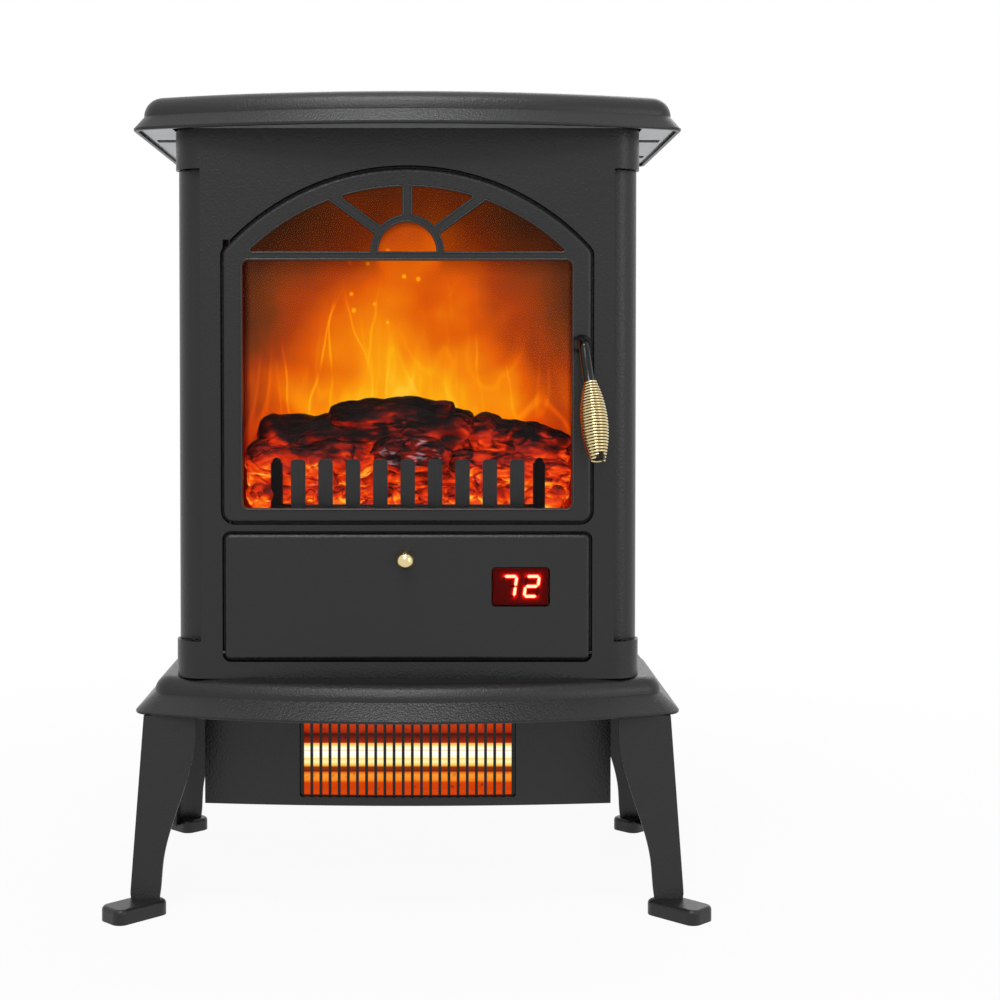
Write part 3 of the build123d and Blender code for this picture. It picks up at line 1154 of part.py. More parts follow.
# ---------------------------------------------------------------- screws of the case
with BuildPart() as case_screws:
    places = [Plane((x, y, BODY_TOP - SHEET)) for x, y in TOP_SCREWS]
    places += [Plane((x, y, SHELF_BOTTOM - LEG_FLANGE)) for x, y in LEG_SCREWS]
    places += [Plane((side * REAR_SCREW_X, BODY_BACK, z), z_dir=(0, -1, 0))
               for side in (-1, 1) for z in REAR_SCREW_ZS]
    with Locations(*places):
        Cylinder(SCREW_D / 2, SCREW_LENGTH, align=(Align.CENTER, Align.CENTER, Align.MIN))
        Cylinder(SCREW_HEAD_D / 2, SCREW_HEAD, align=(Align.CENTER, Align.CENTER, Align.MAX))
save(case_screws, "case_screws")
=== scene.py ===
"""Looks of the electric fireplace stove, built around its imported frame.

The CAD nodes give the shape of the case, door, flap, grille and works. This script gives each of them
its finish, and makes what a solid leaves plain: bark and embers, the wound grip, the lit digits and wear.
Everything is in metres in the frame of the CAD model: X to the right, -Y to the front, +Z up. Sizes that
are easier to read in millimetres are turned to metres by MM where they are used.
"""

import logging
import math
from dataclasses import dataclass, field
from enum import Enum
from typing import Iterable, Sequence

import bmesh
import bpy
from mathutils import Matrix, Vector, noise


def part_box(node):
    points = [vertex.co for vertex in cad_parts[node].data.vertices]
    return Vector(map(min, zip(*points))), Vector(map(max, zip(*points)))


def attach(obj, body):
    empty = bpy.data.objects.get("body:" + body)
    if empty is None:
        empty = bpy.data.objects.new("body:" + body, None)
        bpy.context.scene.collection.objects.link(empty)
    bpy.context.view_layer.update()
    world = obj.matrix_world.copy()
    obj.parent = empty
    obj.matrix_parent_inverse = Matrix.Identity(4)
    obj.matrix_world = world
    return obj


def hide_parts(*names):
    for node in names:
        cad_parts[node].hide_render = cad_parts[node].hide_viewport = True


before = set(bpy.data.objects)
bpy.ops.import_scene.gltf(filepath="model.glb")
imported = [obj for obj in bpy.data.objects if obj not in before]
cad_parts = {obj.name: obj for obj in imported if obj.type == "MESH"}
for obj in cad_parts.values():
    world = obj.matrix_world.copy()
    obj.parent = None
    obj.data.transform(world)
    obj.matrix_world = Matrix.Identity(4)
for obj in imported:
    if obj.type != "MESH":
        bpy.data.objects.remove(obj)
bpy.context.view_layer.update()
NODES: dict[str, bpy.types.Object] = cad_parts
MM = 0.001
TURN = 2 * math.pi
MERGE = 1e-6
LOG = logging.getLogger("fireplace")

Socket = bpy.types.NodeSocket
Tree = bpy.types.NodeTree
Stops = tuple[tuple[float, str], ...]

MATH, VECTOR_MATH, MAP_RANGE = "ShaderNodeMath", "ShaderNodeVectorMath", "ShaderNodeMapRange"
NOISE, MIX, RAMP, MAPPING = "ShaderNodeTexNoise", "ShaderNodeMix", "ShaderNodeValToRGB", "ShaderNodeMapping"
COORDINATES, SEPARATE, SURFACE_OUT = "ShaderNodeTexCoord", "ShaderNodeSeparateXYZ", "ShaderNodeOutputMaterial"


# ---------------------------------------------------------------- small helpers
def linear(hex_colour: str) -> tuple[float, float, float, float]:
    """Turn an sRGB hex colour into the linear values that Blender's sockets take."""
    text = hex_colour.lstrip("#")
    channels = [int(text[i:i + 2], 16) / 255 for i in (0, 2, 4)]
    red, green, blue = (c / 12.92 if c <= 0.04045 else ((c + 0.055) / 1.055) ** 2.4 for c in channels)
    return red, green, blue, 1.0


def fill_node(tree: Tree, node: bpy.types.Node, settings: dict) -> None:
    """Set a node up.

    Args:
        tree: the node tree that the node is in.
        node: the node.
        settings: its attributes under their names, and what goes into its inputs under their names or
            numbers: a value, a socket, or a node whose first output is meant. A colour ramp takes its
            positions and hex colours under "stops".
    """
    for key, value in settings.items():
        if key == "stops":
            elements = node.color_ramp.elements
            while len(elements) < len(value):
                elements.new(1.0)
            for element, (position, colour) in zip(elements, value):
                element.position = position
                element.color = linear(colour)
        elif isinstance(value, (bpy.types.Node, Socket)):
            source = value.outputs[0] if isinstance(value, bpy.types.Node) else value
            tree.links.new(source, node.inputs[key])
        elif isinstance(key, str) and hasattr(node, key):
            setattr(node, key, value)
        else:
            node.inputs[key].default_value = value


def add_node(tree: Tree, kind: str, settings: dict | None = None) -> bpy.types.Node:
    """Add a node to a tree.

    Args:
        tree: the node tree to add to.
        kind: the node's bl_idname.
        settings: its attributes, values and links, as fill_node takes them.

    Returns:
        The new node.
    """
    node = tree.nodes.new(kind)
    fill_node(tree, node, settings or {})
    return node


def new_material(name: str, empty: bool = False) -> tuple[bpy.types.Material, Tree]:
    """Start a material.

    Args:
        name: what the material is called.
        empty: whether its tree starts without the usual Principled shader.

    Returns:
        The material and its node tree.
    """
    material = bpy.data.materials.new(name)
    material.use_nodes = True
    if empty:
        material.node_tree.nodes.clear()
    return material, material.node_tree


def paint(names: Iterable[str], material: bpy.types.Material) -> None:
    """Give CAD nodes one material.

    Args:
        names: the nodes.
        material: what they are all made of.
    """
    for name in names:
        target = NODES[name]
        target.data.materials.clear()
        target.data.materials.append(material)


def mesh_object(name: str, vertices: Sequence, faces: Sequence,
                material: bpy.types.Material | None = None) -> bpy.types.Object:
    """Make a mesh object at the origin, ready to ride on a body later.

    Args:
        name: what the object and its mesh are called.
        vertices: its points, in metres.
        faces: each face's points, by number.
        material: its finish, if it is known already.

    Returns:
        The object, linked to the scene.
    """
    mesh = bpy.data.meshes.new(name)
    mesh.from_pydata([tuple(v) for v in vertices], [], [tuple(f) for f in faces])
    mesh.validate()
    made = bpy.data.objects.new(name, mesh)
    bpy.context.scene.collection.objects.link(made)
    if material:
        mesh.materials.append(material)
    return made


def smooth(target: bpy.types.Object) -> None:
    """Shade every face of a mesh smooth."""
    target.data.polygons.foreach_set("use_smooth", [True] * len(target.data.polygons))
    target.data.update()


def settle(target: bpy.types.Object, body: str, slot: str, *replaced: str) -> None:
    """Put a finished piece on its body, and let it stand for CAD nodes.

    Args:
        target: the piece.
        body: the body it moves with.
        slot: the name of its slot; not used.
        replaced: the CAD nodes that it is shown instead of.
    """
    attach(target, body)
    if replaced:
        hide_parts(*replaced)
    LOG.info("%s: %d faces on %s", target.name, len(target.data.polygons), body)


# ---------------------------------------------------------------- stage
@dataclass
class Studio:
    """Camera, lamps, floor and backdrop."""

    camera_at: tuple[float, float, float] = (0.0170, -1.353, 0.3857)
    tilt_down: float = 1.4
    lens: float = 63.5
    sensor: float = 36.0
    shift: tuple[float, float] = (0.069, -0.089)
    nearest: float = 0.05
    floor_half: float = 6.0
    floor_hex: str = "#f4f4f4"
    floor_white: float = 0.93
    floor_fade: tuple[float, float] = (0.25, 1.1)
    soft_light: float = 0.30
    # Name, place, height of the point on the axis that it looks at, size, and watts
    lamps: tuple = (("key", (-0.3, -2.2, 2.1), 0.35, (1.2, 1.0), 19.0),
                    ("fill", (2.0, -1.6, 0.9), 0.30, (1.0, 1.6), 9.0),
                    ("top", (-0.1, -0.7, 2.0), 0.50, (0.7, 0.3), 10.0),
                    ("rim", (0.4, 1.9, 1.6), 0.35, (1.6, 1.2), 12.0))

    def camera(self) -> None:
        """Place the camera square to the front, a little right of the middle."""
        data = bpy.data.cameras.new("camera")
        data.lens = self.lens
        data.sensor_width = self.sensor
        data.shift_x, data.shift_y = self.shift
        data.clip_start = self.nearest
        seat = bpy.data.objects.new("camera", data)
        bpy.context.scene.collection.objects.link(seat)
        seat.location = self.camera_at
        seat.rotation_euler = (math.radians(90.0 - self.tilt_down), 0.0, 0.0)
        bpy.context.scene.camera = seat

    def lamp(self, name: str, at: tuple, aim_height: float, size: tuple, watts: float) -> None:
        """Add one soft rectangular lamp that looks at a point on the stove's upright axis.

        Args:
            name: what the lamp is called.
            at: where it hangs.
            aim_height: height of the point that it looks at.
            size: its width and height.
            watts: its power.
        """
        data = bpy.data.lights.new(name, "AREA")
        data.shape = "RECTANGLE"
        data.size, data.size_y = size
        data.energy = watts
        holder = bpy.data.objects.new(name, data)
        bpy.context.scene.collection.objects.link(holder)
        holder.location = at
        holder.rotation_euler = (Vector((0, 0, aim_height)) - Vector(at)).to_track_quat("-Z", "Y").to_euler()

    def white_where_seen(self, tree: Tree, lit: Socket, white: Socket, share: Socket | None = None) -> Socket:
        """Mix in plain white for rays from the camera, through glass and off gloss.

        Args:
            tree: the node tree of the floor or the world.
            lit: shader that the other rays see.
            white: the plain white shader.
            share: how much of the white is mixed in, or None for all of it.

        Returns:
            The mixed shader.
        """
        ray = add_node(tree, "ShaderNodeLightPath").outputs
        seen = add_node(tree, MATH, {"operation": "MAXIMUM", 0: ray["Is Camera Ray"],
                                     1: ray["Is Transmission Ray"]})
        seen = add_node(tree, MATH, {"operation": "MAXIMUM", 0: seen, 1: ray["Is Glossy Ray"]})
        if share:
            seen = add_node(tree, MATH, {"operation": "MULTIPLY", 0: seen, 1: share})
        return add_node(tree, "ShaderNodeMixShader", {0: seen, 1: lit, 2: white}).outputs[0]

    def world(self) -> None:
        """Even pale light from all round, and white behind the object."""
        world = bpy.data.worlds.new("studio")
        bpy.context.scene.world = world
        world.use_nodes = True
        tree = world.node_tree
        tree.nodes.clear()
        white = linear("#ffffff")
        soft, plain = (add_node(tree, "ShaderNodeBackground", {"Color": white, "Strength": strength})
                       for strength in (self.soft_light, 1.0))
        add_node(tree, "ShaderNodeOutputWorld",
                 {0: self.white_where_seen(tree, soft.outputs[0], plain.outputs[0])})

    def floor(self) -> None:
        """A plain pale floor that keeps the object's soft shadow."""
        half = self.floor_half
        corners = [(-half, -half, 0), (half, -half, 0), (half, half, 0), (-half, half, 0)]
        ground = mesh_object("floor", corners, [(0, 1, 2, 3)])
        material, tree = new_material("matt white studio floor", empty=True)
        lit = add_node(tree, "ShaderNodeBsdfDiffuse", {"Color": linear(self.floor_hex)})
        plain = add_node(tree, "ShaderNodeEmission", {"Color": linear("#ffffff"), "Strength": 1.0})
        away = add_node(tree, VECTOR_MATH, {"operation": "LENGTH",
                                            0: add_node(tree, COORDINATES).outputs["Object"]})
        near, far = self.floor_fade
        share = add_node(tree, MAP_RANGE, {"From Min": near, "From Max": far, "To Min": self.floor_white,
                                           "To Max": 1.0, "Value": away.outputs["Value"]})
        shown = self.white_where_seen(tree, lit.outputs[0], plain.outputs[0], share.outputs[0])
        add_node(tree, SURFACE_OUT, {0: shown})
        ground.data.materials.append(material)

    def build(self) -> None:
        """Set up the whole stage."""
        self.camera()
        self.world()
        self.floor()
        for lamp in self.lamps:
            self.lamp(*lamp)
        bpy.context.scene.view_settings.view_transform = "Standard"


# ---------------------------------------------------------------- finishes
@dataclass(frozen=True)
class Coating:
    """An opaque coating, plastic or metal with a fine grain and slightly uneven gloss."""

    name: str
    base_hex: str
    worn_hex: str
    roughness: float = 0.42
    grain_mm: float = 0.9
    depth: float = 0.25
    metallic: float = 0.0
    sheen: float = 0.5
    # Cloudy patches some 70 mm wide, such as handling and uneven spraying leave
    mottles_per_m: float = 14.0
    bump_height: float = 0.0004

    def build(self) -> bpy.types.Material:
        """Make the material: grain in the bump, faint mottling in colour and gloss.

        Returns:
            The material.
        """
        material, tree = new_material(self.name)
        place = add_node(tree, COORDINATES).outputs["Object"]
        cloud = add_node(tree, NOISE, {"Scale": self.mottles_per_m, "Detail": 3.0, "Roughness": 0.55,
                                       "Vector": place})
        grain = add_node(tree, NOISE, {"Scale": 1.0 / (self.grain_mm * MM), "Detail": 2.0, "Vector": place})
        tint = add_node(tree, MIX, {"data_type": "RGBA", 0: cloud, 6: linear(self.base_hex),
                                    7: linear(self.worn_hex)})
        gloss = add_node(tree, MAP_RANGE, {"To Min": self.roughness - 0.05, "To Max": self.roughness + 0.06,
                                           "Value": grain})
        bump = add_node(tree, "ShaderNodeBump", {"Strength": self.depth, "Distance": self.bump_height,
                                                 "Height": grain})
        fill_node(tree, tree.nodes["Principled BSDF"], {
            "Base Color": tint.outputs[2], "Roughness": gloss, "Normal": bump,
            "Metallic": self.metallic, "Specular IOR Level": self.sheen})
        return material


@dataclass(frozen=True)
class ClearPane:
    """Thin clear tempered glass: seen straight through, with a faint reflection.

    Only faces met from outside reflect: met from inside, at a low angle, they would turn the pane white.
    """

    name: str = "clear tempered glass"
    tint_hex: str = "#ffffff"
    gloss: float = 0.035

    def build(self) -> bpy.types.Material:
        """Mix a see-through shader with a weak mirror one.

        Returns:
            The material.
        """
        material, tree = new_material(self.name, empty=True)
        through = add_node(tree, "ShaderNodeBsdfTransparent", {"Color": linear(self.tint_hex)})
        shine = add_node(tree, "ShaderNodeBsdfGlossy", {"Color": linear("#ffffff"), "Roughness": 0.03})
        edge = add_node(tree, "ShaderNodeLayerWeight", {"Blend": 0.25})
        side = add_node(tree, "ShaderNodeNewGeometry")
        outer = add_node(tree, MAP_RANGE, {"To Min": self.gloss * 6.0, "To Max": 0.0,
                                           "Value": side.outputs["Backfacing"]})
        weight = add_node(tree, MATH, {"operation": "MULTIPLY", 0: edge.outputs["Fresnel"], 1: outer})
        mix = add_node(tree, "ShaderNodeMixShader", {0: weight, 1: through, 2: shine})
        add_node(tree, SURFACE_OUT, {0: mix})
        return material


def apply_nodes(carrier: bpy.types.Object, tree: Tree, name: str,
                material: bpy.types.Material) -> bpy.types.Object:
    """Run a Geometry Nodes tree on a carrier and keep its result as one plain mesh.

    Args:
        carrier: the object that carries the modifier; it is removed afterwards.
        tree: the node group.
        name: name of the finished piece.
        material: the finish of the finished piece.

    Returns:
        The finished mesh object.
    """
    modifier = carrier.modifiers.new(name, "NODES")
    modifier.node_group = tree
    depsgraph = bpy.context.evaluated_depsgraph_get()
    mesh = bpy.data.meshes.new_from_object(carrier.evaluated_get(depsgraph))
    mesh.name = name
    mesh.materials.clear()
    mesh.materials.append(material)
    made = bpy.data.objects.new(name, mesh)
    bpy.context.scene.collection.objects.link(made)
    bpy.data.objects.remove(carrier, do_unlink=True)
    return made


# ---------------------------------------------------------------- case and works
@dataclass
class Case:
    """Finishes of the case, the door, the flap and the hardware."""

    # Spark-eroded mould texture: soft broad highlights broken into grain, drawn coarser to show
    powder: Coating = Coating("charcoal grained heat-resistant moulding", "#171718", "#1d1d1e", 0.34, 1.5,
                              0.7, sheen=0.40)
    # Sprayed and baked smooth: an even dark satin
    bars: Coating = Coating("black satin enamel on pressed steel", "#121213", "#171718", 0.40, 0.7, 0.12,
                            sheen=0.36)
    # Dipped and baked: black with narrow bright highlights
    rod: Coating = Coating("black gloss enamel on steel rod", "#070708", "#0c0c0d", 0.17, 1.2, 0.03,
                           sheen=0.3)
    # Rolled and plated: grey metal with a soft, slightly cloudy shine
    zinc: Coating = Coating("zinc-plated rolled sheet steel", "#8d8f90", "#a2a4a5", 0.36, 1.4, 0.08, 1.0)
    # Hot-dipped: paler and duller than plating, so it looks light against the black case
    galvanised: Coating = Coating("bright galvanised sheet steel", "#b4b6b8", "#c6c8ca", 0.42, 1.4, 0.06, 0.6)
    # Turned and polished: pale gold with sharp reflections
    brass: Coating = Coating("polished pale brass", "#d9c38a", "#e8d6a6", 0.17, 1.1, 0.03, 1.0)
    # Moulded with a fine matt texture: dull black
    plastic: Coating = Coating("black moulded ABS", "#1a1a1b", "#202021", 0.48, 0.6, 0.15)
    # Moulded smooth: plain mid grey that stands out from the panel
    keys: Coating = Coating("grey moulded key cap", "#7b7d7f", "#86888a", 0.45, 0.6, 0.08)
    # Glass-fibre laminate under solder resist: dark glossy green
    board: Coating = Coating("green circuit board laminate", "#123c22", "#17482a", 0.35, 1.0, 0.05)
    # Pressed and fired without glaze: chalky off-white
    ceramic: Coating = Coating("unglazed steatite ceramic", "#d9d2c2", "#e4ded0", 0.8, 0.5, 0.2)
    # Sprayed and baked matt: nearly black, so the fire is all that shows
    dark_box: Coating = Coating("black baked lining of the firebox", "#0c0b0b", "#131110", 0.55, 1.0, 0.1)

    def build(self) -> None:
        """Give every CAD node that stays its finish."""
        paint(("top_cover", "base_shelf", "front_fascia", "left_side_panel", "right_side_panel", "rear_panel",
               "front_left_leg", "front_right_leg", "rear_left_leg", "rear_right_leg", "door_frame",
               "control_flap", "heater_front"), self.powder.build())
        paint(("log_guard",), self.bars.build())
        paint(("heater_grille", "handle_rod", "door_hinge_pins", "flap_hinge_pins"), self.rod.build())
        paint(("heater_housing", "spindle_bracket", "blower_housing", "case_screws", "door_strike_plate",
               "flap_strike_plate", "glass_clips", "handle_nut", "spindle_shaft", "spindle_motor",
               "blower_motor", "reflector_blades"), self.zinc.build())
        paint(("lid_underplate",), self.galvanised.build())
        paint(("flap_knob",), self.brass.build())
        paint(("power_button", "flame_button", "warmer_button", "cooler_button", "timer_button"),
              self.keys.build())
        paint(("control_panel", "cord_gland", "tip_over_switch", "thermal_cutout", "blower_wheel",
               "door_catch", "flap_catch", "display_module"), self.plastic.build())
        paint(("control_board", "power_board", "ember_light_board", "flame_light_board"), self.board.build())
        paint(("tube_end_caps",), self.ceramic.build())
        paint(("firebox_liner",), self.dark_box.build())
        paint(("door_glass",), ClearPane().build())


# ---------------------------------------------------------------- door
@dataclass
class DoorTrim:
    """Rounded beads moulded round the window and the fanlight's panes."""

    bead: float = 0.75
    off_edge: float = 0.85
    around: int = 8
    least_opening: float = 0.012
    face_depth: float = 1e-5
    flat_front: float = 0.99
    sharpest_corner: float = 0.3
    longest_mitre: float = 1.5

    def openings(self) -> list[list[Vector]]:
        """Closed rings of points where the door's flat front breaks off into an opening."""
        low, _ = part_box("door_frame")
        rough = bmesh.new()
        rough.from_mesh(NODES["door_frame"].data)
        bmesh.ops.remove_doubles(rough, verts=rough.verts, dist=MERGE)
        beside: dict[int, list[int]] = {}
        places = {v.index: v.co.copy() for v in rough.verts}
        for edge in rough.edges:
            flat = [abs(f.normal.y) > self.flat_front for f in edge.link_faces]
            if max(v.co.y for v in edge.verts) < low.y + self.face_depth and sorted(flat) == [False, True]:
                a, b = (v.index for v in edge.verts)
                beside.setdefault(a, []).append(b)
                beside.setdefault(b, []).append(a)
        rough.free()
        rings, seen = [], set()
        for first in beside:
            if first in seen:
                continue
            ring, here = [], first
            while here is not None:
                seen.add(here)
                ring.append(places[here])
                here = next((n for n in beside[here] if n not in seen), None)
            rings.append(ring)
        return [r for r in rings if max(p.x for p in r) - min(p.x for p in r) > self.least_opening]

    def outward(self, ring: list[Vector]) -> list[Vector]:
        """Directions that lead away from the opening in the door's plane, a little longer at a mitre.

        Args:
            ring: the points round the opening.

        Returns:
            One direction for each point.
        """
        count = len(ring)
        area = sum(a.x * b.z - b.x * a.z for a, b in zip(ring, ring[1:] + ring[:1]))
        side = 1.0 if area > 0 else -1.0
        ways = []
        for i, spot in enumerate(ring):
            before = (spot - ring[i - 1]).normalized()
            after = (ring[(i + 1) % count] - spot).normalized()
            along = (before + after).normalized()
            stretch = min(1.0 / max(along.dot(after), self.sharpest_corner), self.longest_mitre)
            ways.append(Vector((along.z, 0.0, -along.x)) * side * stretch)
        return ways

    def build(self) -> None:
        """Lay a round bead beside the edge of every opening, half sunk in the door's face."""
        # The mould is polished here: the bead's crown catches a thin highlight
        finish = Coating("charcoal moulding with a burnished bead", "#1d1d1e", "#242425", 0.26, 1.1, 0.05)
        points, faces = [], []
        for ring in self.openings():
            first, count = len(points), len(ring)
            for spot, way in zip(ring, self.outward(ring)):
                for k in range(self.around):
                    angle = TURN * k / self.around
                    points.append(spot + way * (self.off_edge + self.bead * math.cos(angle)) * MM
                                  + Vector((0.0, self.bead * math.sin(angle) * MM, 0.0)))
            for i in range(count):
                a, b = first + i * self.around, first + (i + 1) % count * self.around
                for k in range(self.around):
                    n = (k + 1) % self.around
                    faces.append((a + k, a + n, b + n, b + k))
        trim = mesh_object("door_beads", points, faces, finish.build())
        solid = bmesh.new()
        solid.from_mesh(trim.data)
        bmesh.ops.recalc_face_normals(solid, faces=solid.faces)
        solid.to_mesh(trim.data)
        solid.free()
        smooth(trim)
        settle(trim, "door", "case_moulding")


# ---------------------------------------------------------------- fire
@dataclass
class FlameBox:
    """The lit flame screen behind the logs. Its sizes and places are in metres, noises in waves a metre."""

    half_width: float = 0.134
    foot: float = 0.340
    height: float = 0.125
    hub: tuple[float, float, float] = (0.0, 0.0, 0.470)
    spark_spot: tuple[float, float, float] = (-0.016, 0.0, 0.440)
    glow: float = 1.0
    # Heat to colour: brown where the light is weak, then orange and yellow
    heats: Stops = ((0.0, "#5a2a12"), (0.18, "#7a3410"), (0.36, "#a83a07"), (0.54, "#e05a00"),
                    (0.72, "#f98a02"), (0.90, "#ffae08"), (1.0, "#ffc22c"))
    # Painted shade by distance from the middle: none on the screen, a dark gap at its side, and the side wall
    # with a painted reflection of the flames
    wall: Stops = ((0.1212, "#ffffff"), (0.1216, "#3c3c3c"), (0.1224, "#3c3c3c"), (0.1228, "#a06a5a"),
                   (0.1300, "#7a4638"))
    # Shade up from the foot of the ember bed to the top of the logs, and up through the fanlight
    ember_band: tuple[float, float] = (0.26, 0.40)
    embers: Stops = ((0.0, "#8a2014"), (0.42, "#c0402a"), (0.60, "#ffd8c8"), (0.72, "#ffffff"))
    fanlight_band: tuple[float, float] = (0.455, 0.50)
    fanlight: Stops = ((0.0, "#ffffff"), (0.35, "#b4aca8"), (1.0, "#98a0a0"))
    # Tongues of flame: seed, waves a metre across, half width of a crest, and heat
    strands: tuple = ((3.1, 15.0, 0.035, 0.16), (9.7, 24.0, 0.05, 0.10), (5.3, 12.0, 0.14, 0.20))
    # Pale lines of gas: x of the foot, lean, and how far the line curls late
    wisps: tuple = ((-0.086, 0.010, -0.030), (-0.070, 0.020, 0.012), (-0.050, -0.018, 0.024),
                    (-0.036, 0.030, -0.006), (-0.014, -0.024, -0.012), (0.004, 0.026, 0.020),
                    (0.030, -0.020, 0.008), (0.044, 0.016, -0.028), (0.066, -0.022, 0.018),
                    (0.090, -0.010, -0.016))
    wisp_heat: float = 0.19

    def strand(self, tree: Tree, place: Socket, seed: float, across: float, sharp: float) -> bpy.types.Node:
        """Upright wavering lines of flame: the thin crests of a stretched noise.

        Args:
            tree: the node tree of the screen.
            place: the spot in Object coordinates.
            seed: how far the noise is moved, so that no two are alike.
            across: waves a metre across the screen; there are about a third as many upwards.
            sharp: half width of a crest, as a share of the noise.

        Returns:
            The node whose output is the line's strength, 0 to 1.
        """
        move = add_node(tree, MAPPING, {"Location": (seed, 0.0, seed * 0.7),
                                        "Scale": (across, 1.0, across * 0.34), "Vector": place})
        waves = add_node(tree, NOISE, {"Scale": 1.0, "Detail": 1.0, "Distortion": 1.3, "Vector": move})
        centred = add_node(tree, MATH, {"operation": "SUBTRACT", 0: waves, 1: 0.5})
        away = add_node(tree, MATH, {"operation": "ABSOLUTE", 0: centred})
        return add_node(tree, MAP_RANGE, {"From Min": 0.0, "From Max": sharp, "To Min": 1.0, "To Max": 0.0,
                                          "interpolation_type": "SMOOTHERSTEP", "Value": away})

    def wisp(self, tree: Tree, x: bpy.types.Node, rise: bpy.types.Node, foot: float, lean: float,
             curl: float) -> bpy.types.Node:
        """One thin pale line of gas that rises from a point at the foot and curls away.

        Args:
            tree: the node tree of the screen.
            x: where the spot is across the screen, in metres.
            rise: how far up the flames it is, 0 at their foot and 1 at their top.
            foot: x where the line starts, in metres.
            lean: how far it has moved sideways at the top of the screen.
            curl: how much of that comes late, as a square.

        Returns:
            The node whose output is the line's strength, 0 to 1.
        """
        bend = add_node(tree, MATH, {"operation": "MULTIPLY_ADD", 0: rise, 1: curl, 2: lean})
        path = add_node(tree, MATH, {"operation": "MULTIPLY_ADD", 0: bend, 1: rise, 2: foot})
        away = add_node(tree, MATH, {"operation": "SUBTRACT", 0: x, 1: path})
        near = add_node(tree, MATH, {"operation": "ABSOLUTE", 0: away})
        return add_node(tree, MAP_RANGE, {"From Min": 0.0002, "From Max": 0.0013, "To Min": 1.0,
                                          "To Max": 0.0, "interpolation_type": "SMOOTHSTEP", "Value": near})

    def sparks(self, tree: Tree, place: Socket, heat: bpy.types.Node) -> bpy.types.Node:
        """Tiny bright specks added to the heat of the flames, near the middle of the screen's top.

        Args:
            tree: the node tree of the screen.
            place: the spot in Object coordinates.
            heat: the node whose output is the heat so far.

        Returns:
            The node whose output is the heat with the specks.
        """
        cells = add_node(tree, "ShaderNodeTexVoronoi", {"Scale": 80.0, "Vector": place})
        speck = add_node(tree, MAP_RANGE, {"From Min": 0.10, "From Max": 0.17, "To Min": 0.34, "To Max": 0.0,
                                           "Value": cells.outputs["Distance"]})
        near = add_node(tree, MAP_RANGE, {"From Min": 0.045, "From Max": 0.025,
                                          "Value": self.distance(tree, place, self.spark_spot)})
        return add_node(tree, MATH, {"operation": "MULTIPLY_ADD", 0: speck, 1: near, 2: heat})

    def distance(self, tree: Tree, place: Socket, spot: tuple[float, float, float]) -> Socket:
        """How far a place is from a spot, seen from the front."""
        plane = add_node(tree, VECTOR_MATH, {"operation": "MULTIPLY", 0: place, 1: (1.0, 0.0, 1.0)})
        return add_node(tree, VECTOR_MATH, {"operation": "DISTANCE", 0: plane, 1: spot}).outputs["Value"]

    def heat(self, tree: Tree, place: Socket, x: Socket, z: Socket) -> bpy.types.Node:
        """Heat over the screen: most of it low in the middle, broken by clouds, tongues, gas and sparks.

        Args:
            tree: the node tree of the screen.
            place: the spot in Object coordinates.
            x: its place across the screen.
            z: its height.

        Returns:
            The node whose output is the heat, 0 to 1.
        """
        side = add_node(tree, MATH, {"operation": "ABSOLUTE", 0: add_node(
            tree, MATH, {"operation": "DIVIDE", 0: x, 1: self.half_width})})
        side = add_node(tree, MATH, {"operation": "POWER", 0: side, 1: 2.0})
        rise = add_node(tree, MAP_RANGE, {"From Min": self.foot, "From Max": self.foot + self.height,
                                          "clamp": False, "Value": z})
        heat = add_node(tree, MATH, {"operation": "MULTIPLY_ADD", 0: rise, 1: -0.40, 2: 0.90})
        heat = add_node(tree, MATH, {"operation": "MULTIPLY_ADD", 0: side, 1: -0.68, 2: heat})
        cloud = add_node(tree, NOISE, {"Scale": 18.0, "Detail": 2.0, "Vector": place})
        cloudy = add_node(tree, MATH, {"operation": "MULTIPLY_ADD", 0: cloud, 1: 0.46, 2: -0.23})
        heat = add_node(tree, MATH, {"operation": "ADD", 0: heat, 1: cloudy})
        fade = add_node(tree, MAP_RANGE, {"From Min": 0.75, "From Max": -0.1, "Value": rise})
        for seed, across, sharp, weight in self.strands:
            line = add_node(tree, MATH, {"operation": "MULTIPLY", 1: fade,
                                         0: self.strand(tree, place, seed, across, sharp)})
            heat = add_node(tree, MATH, {"operation": "MULTIPLY_ADD", 0: line, 1: weight, 2: heat})
        wander = add_node(tree, NOISE, {"Scale": 22.0, "Detail": 1.0, "Vector": place})
        shifted = add_node(tree, MATH, {"operation": "MULTIPLY_ADD", 0: wander, 1: 0.016, 2: x})
        patchy = add_node(tree, MAP_RANGE, {"From Min": 0.42, "From Max": 0.60, "Value": cloud})
        short = add_node(tree, MAP_RANGE, {"From Min": 0.95, "From Max": 0.50, "Value": rise})
        broken = add_node(tree, MATH, {"operation": "MULTIPLY", 0: patchy, 1: short})
        for foot, lean, curl in self.wisps:
            seen = add_node(tree, MATH, {"operation": "MULTIPLY", 1: broken,
                                         0: self.wisp(tree, shifted, rise, foot, lean, curl)})
            heat = add_node(tree, MATH, {"operation": "MULTIPLY_ADD", 0: seen, 1: self.wisp_heat, 2: heat})
        return self.sparks(tree, place, heat)

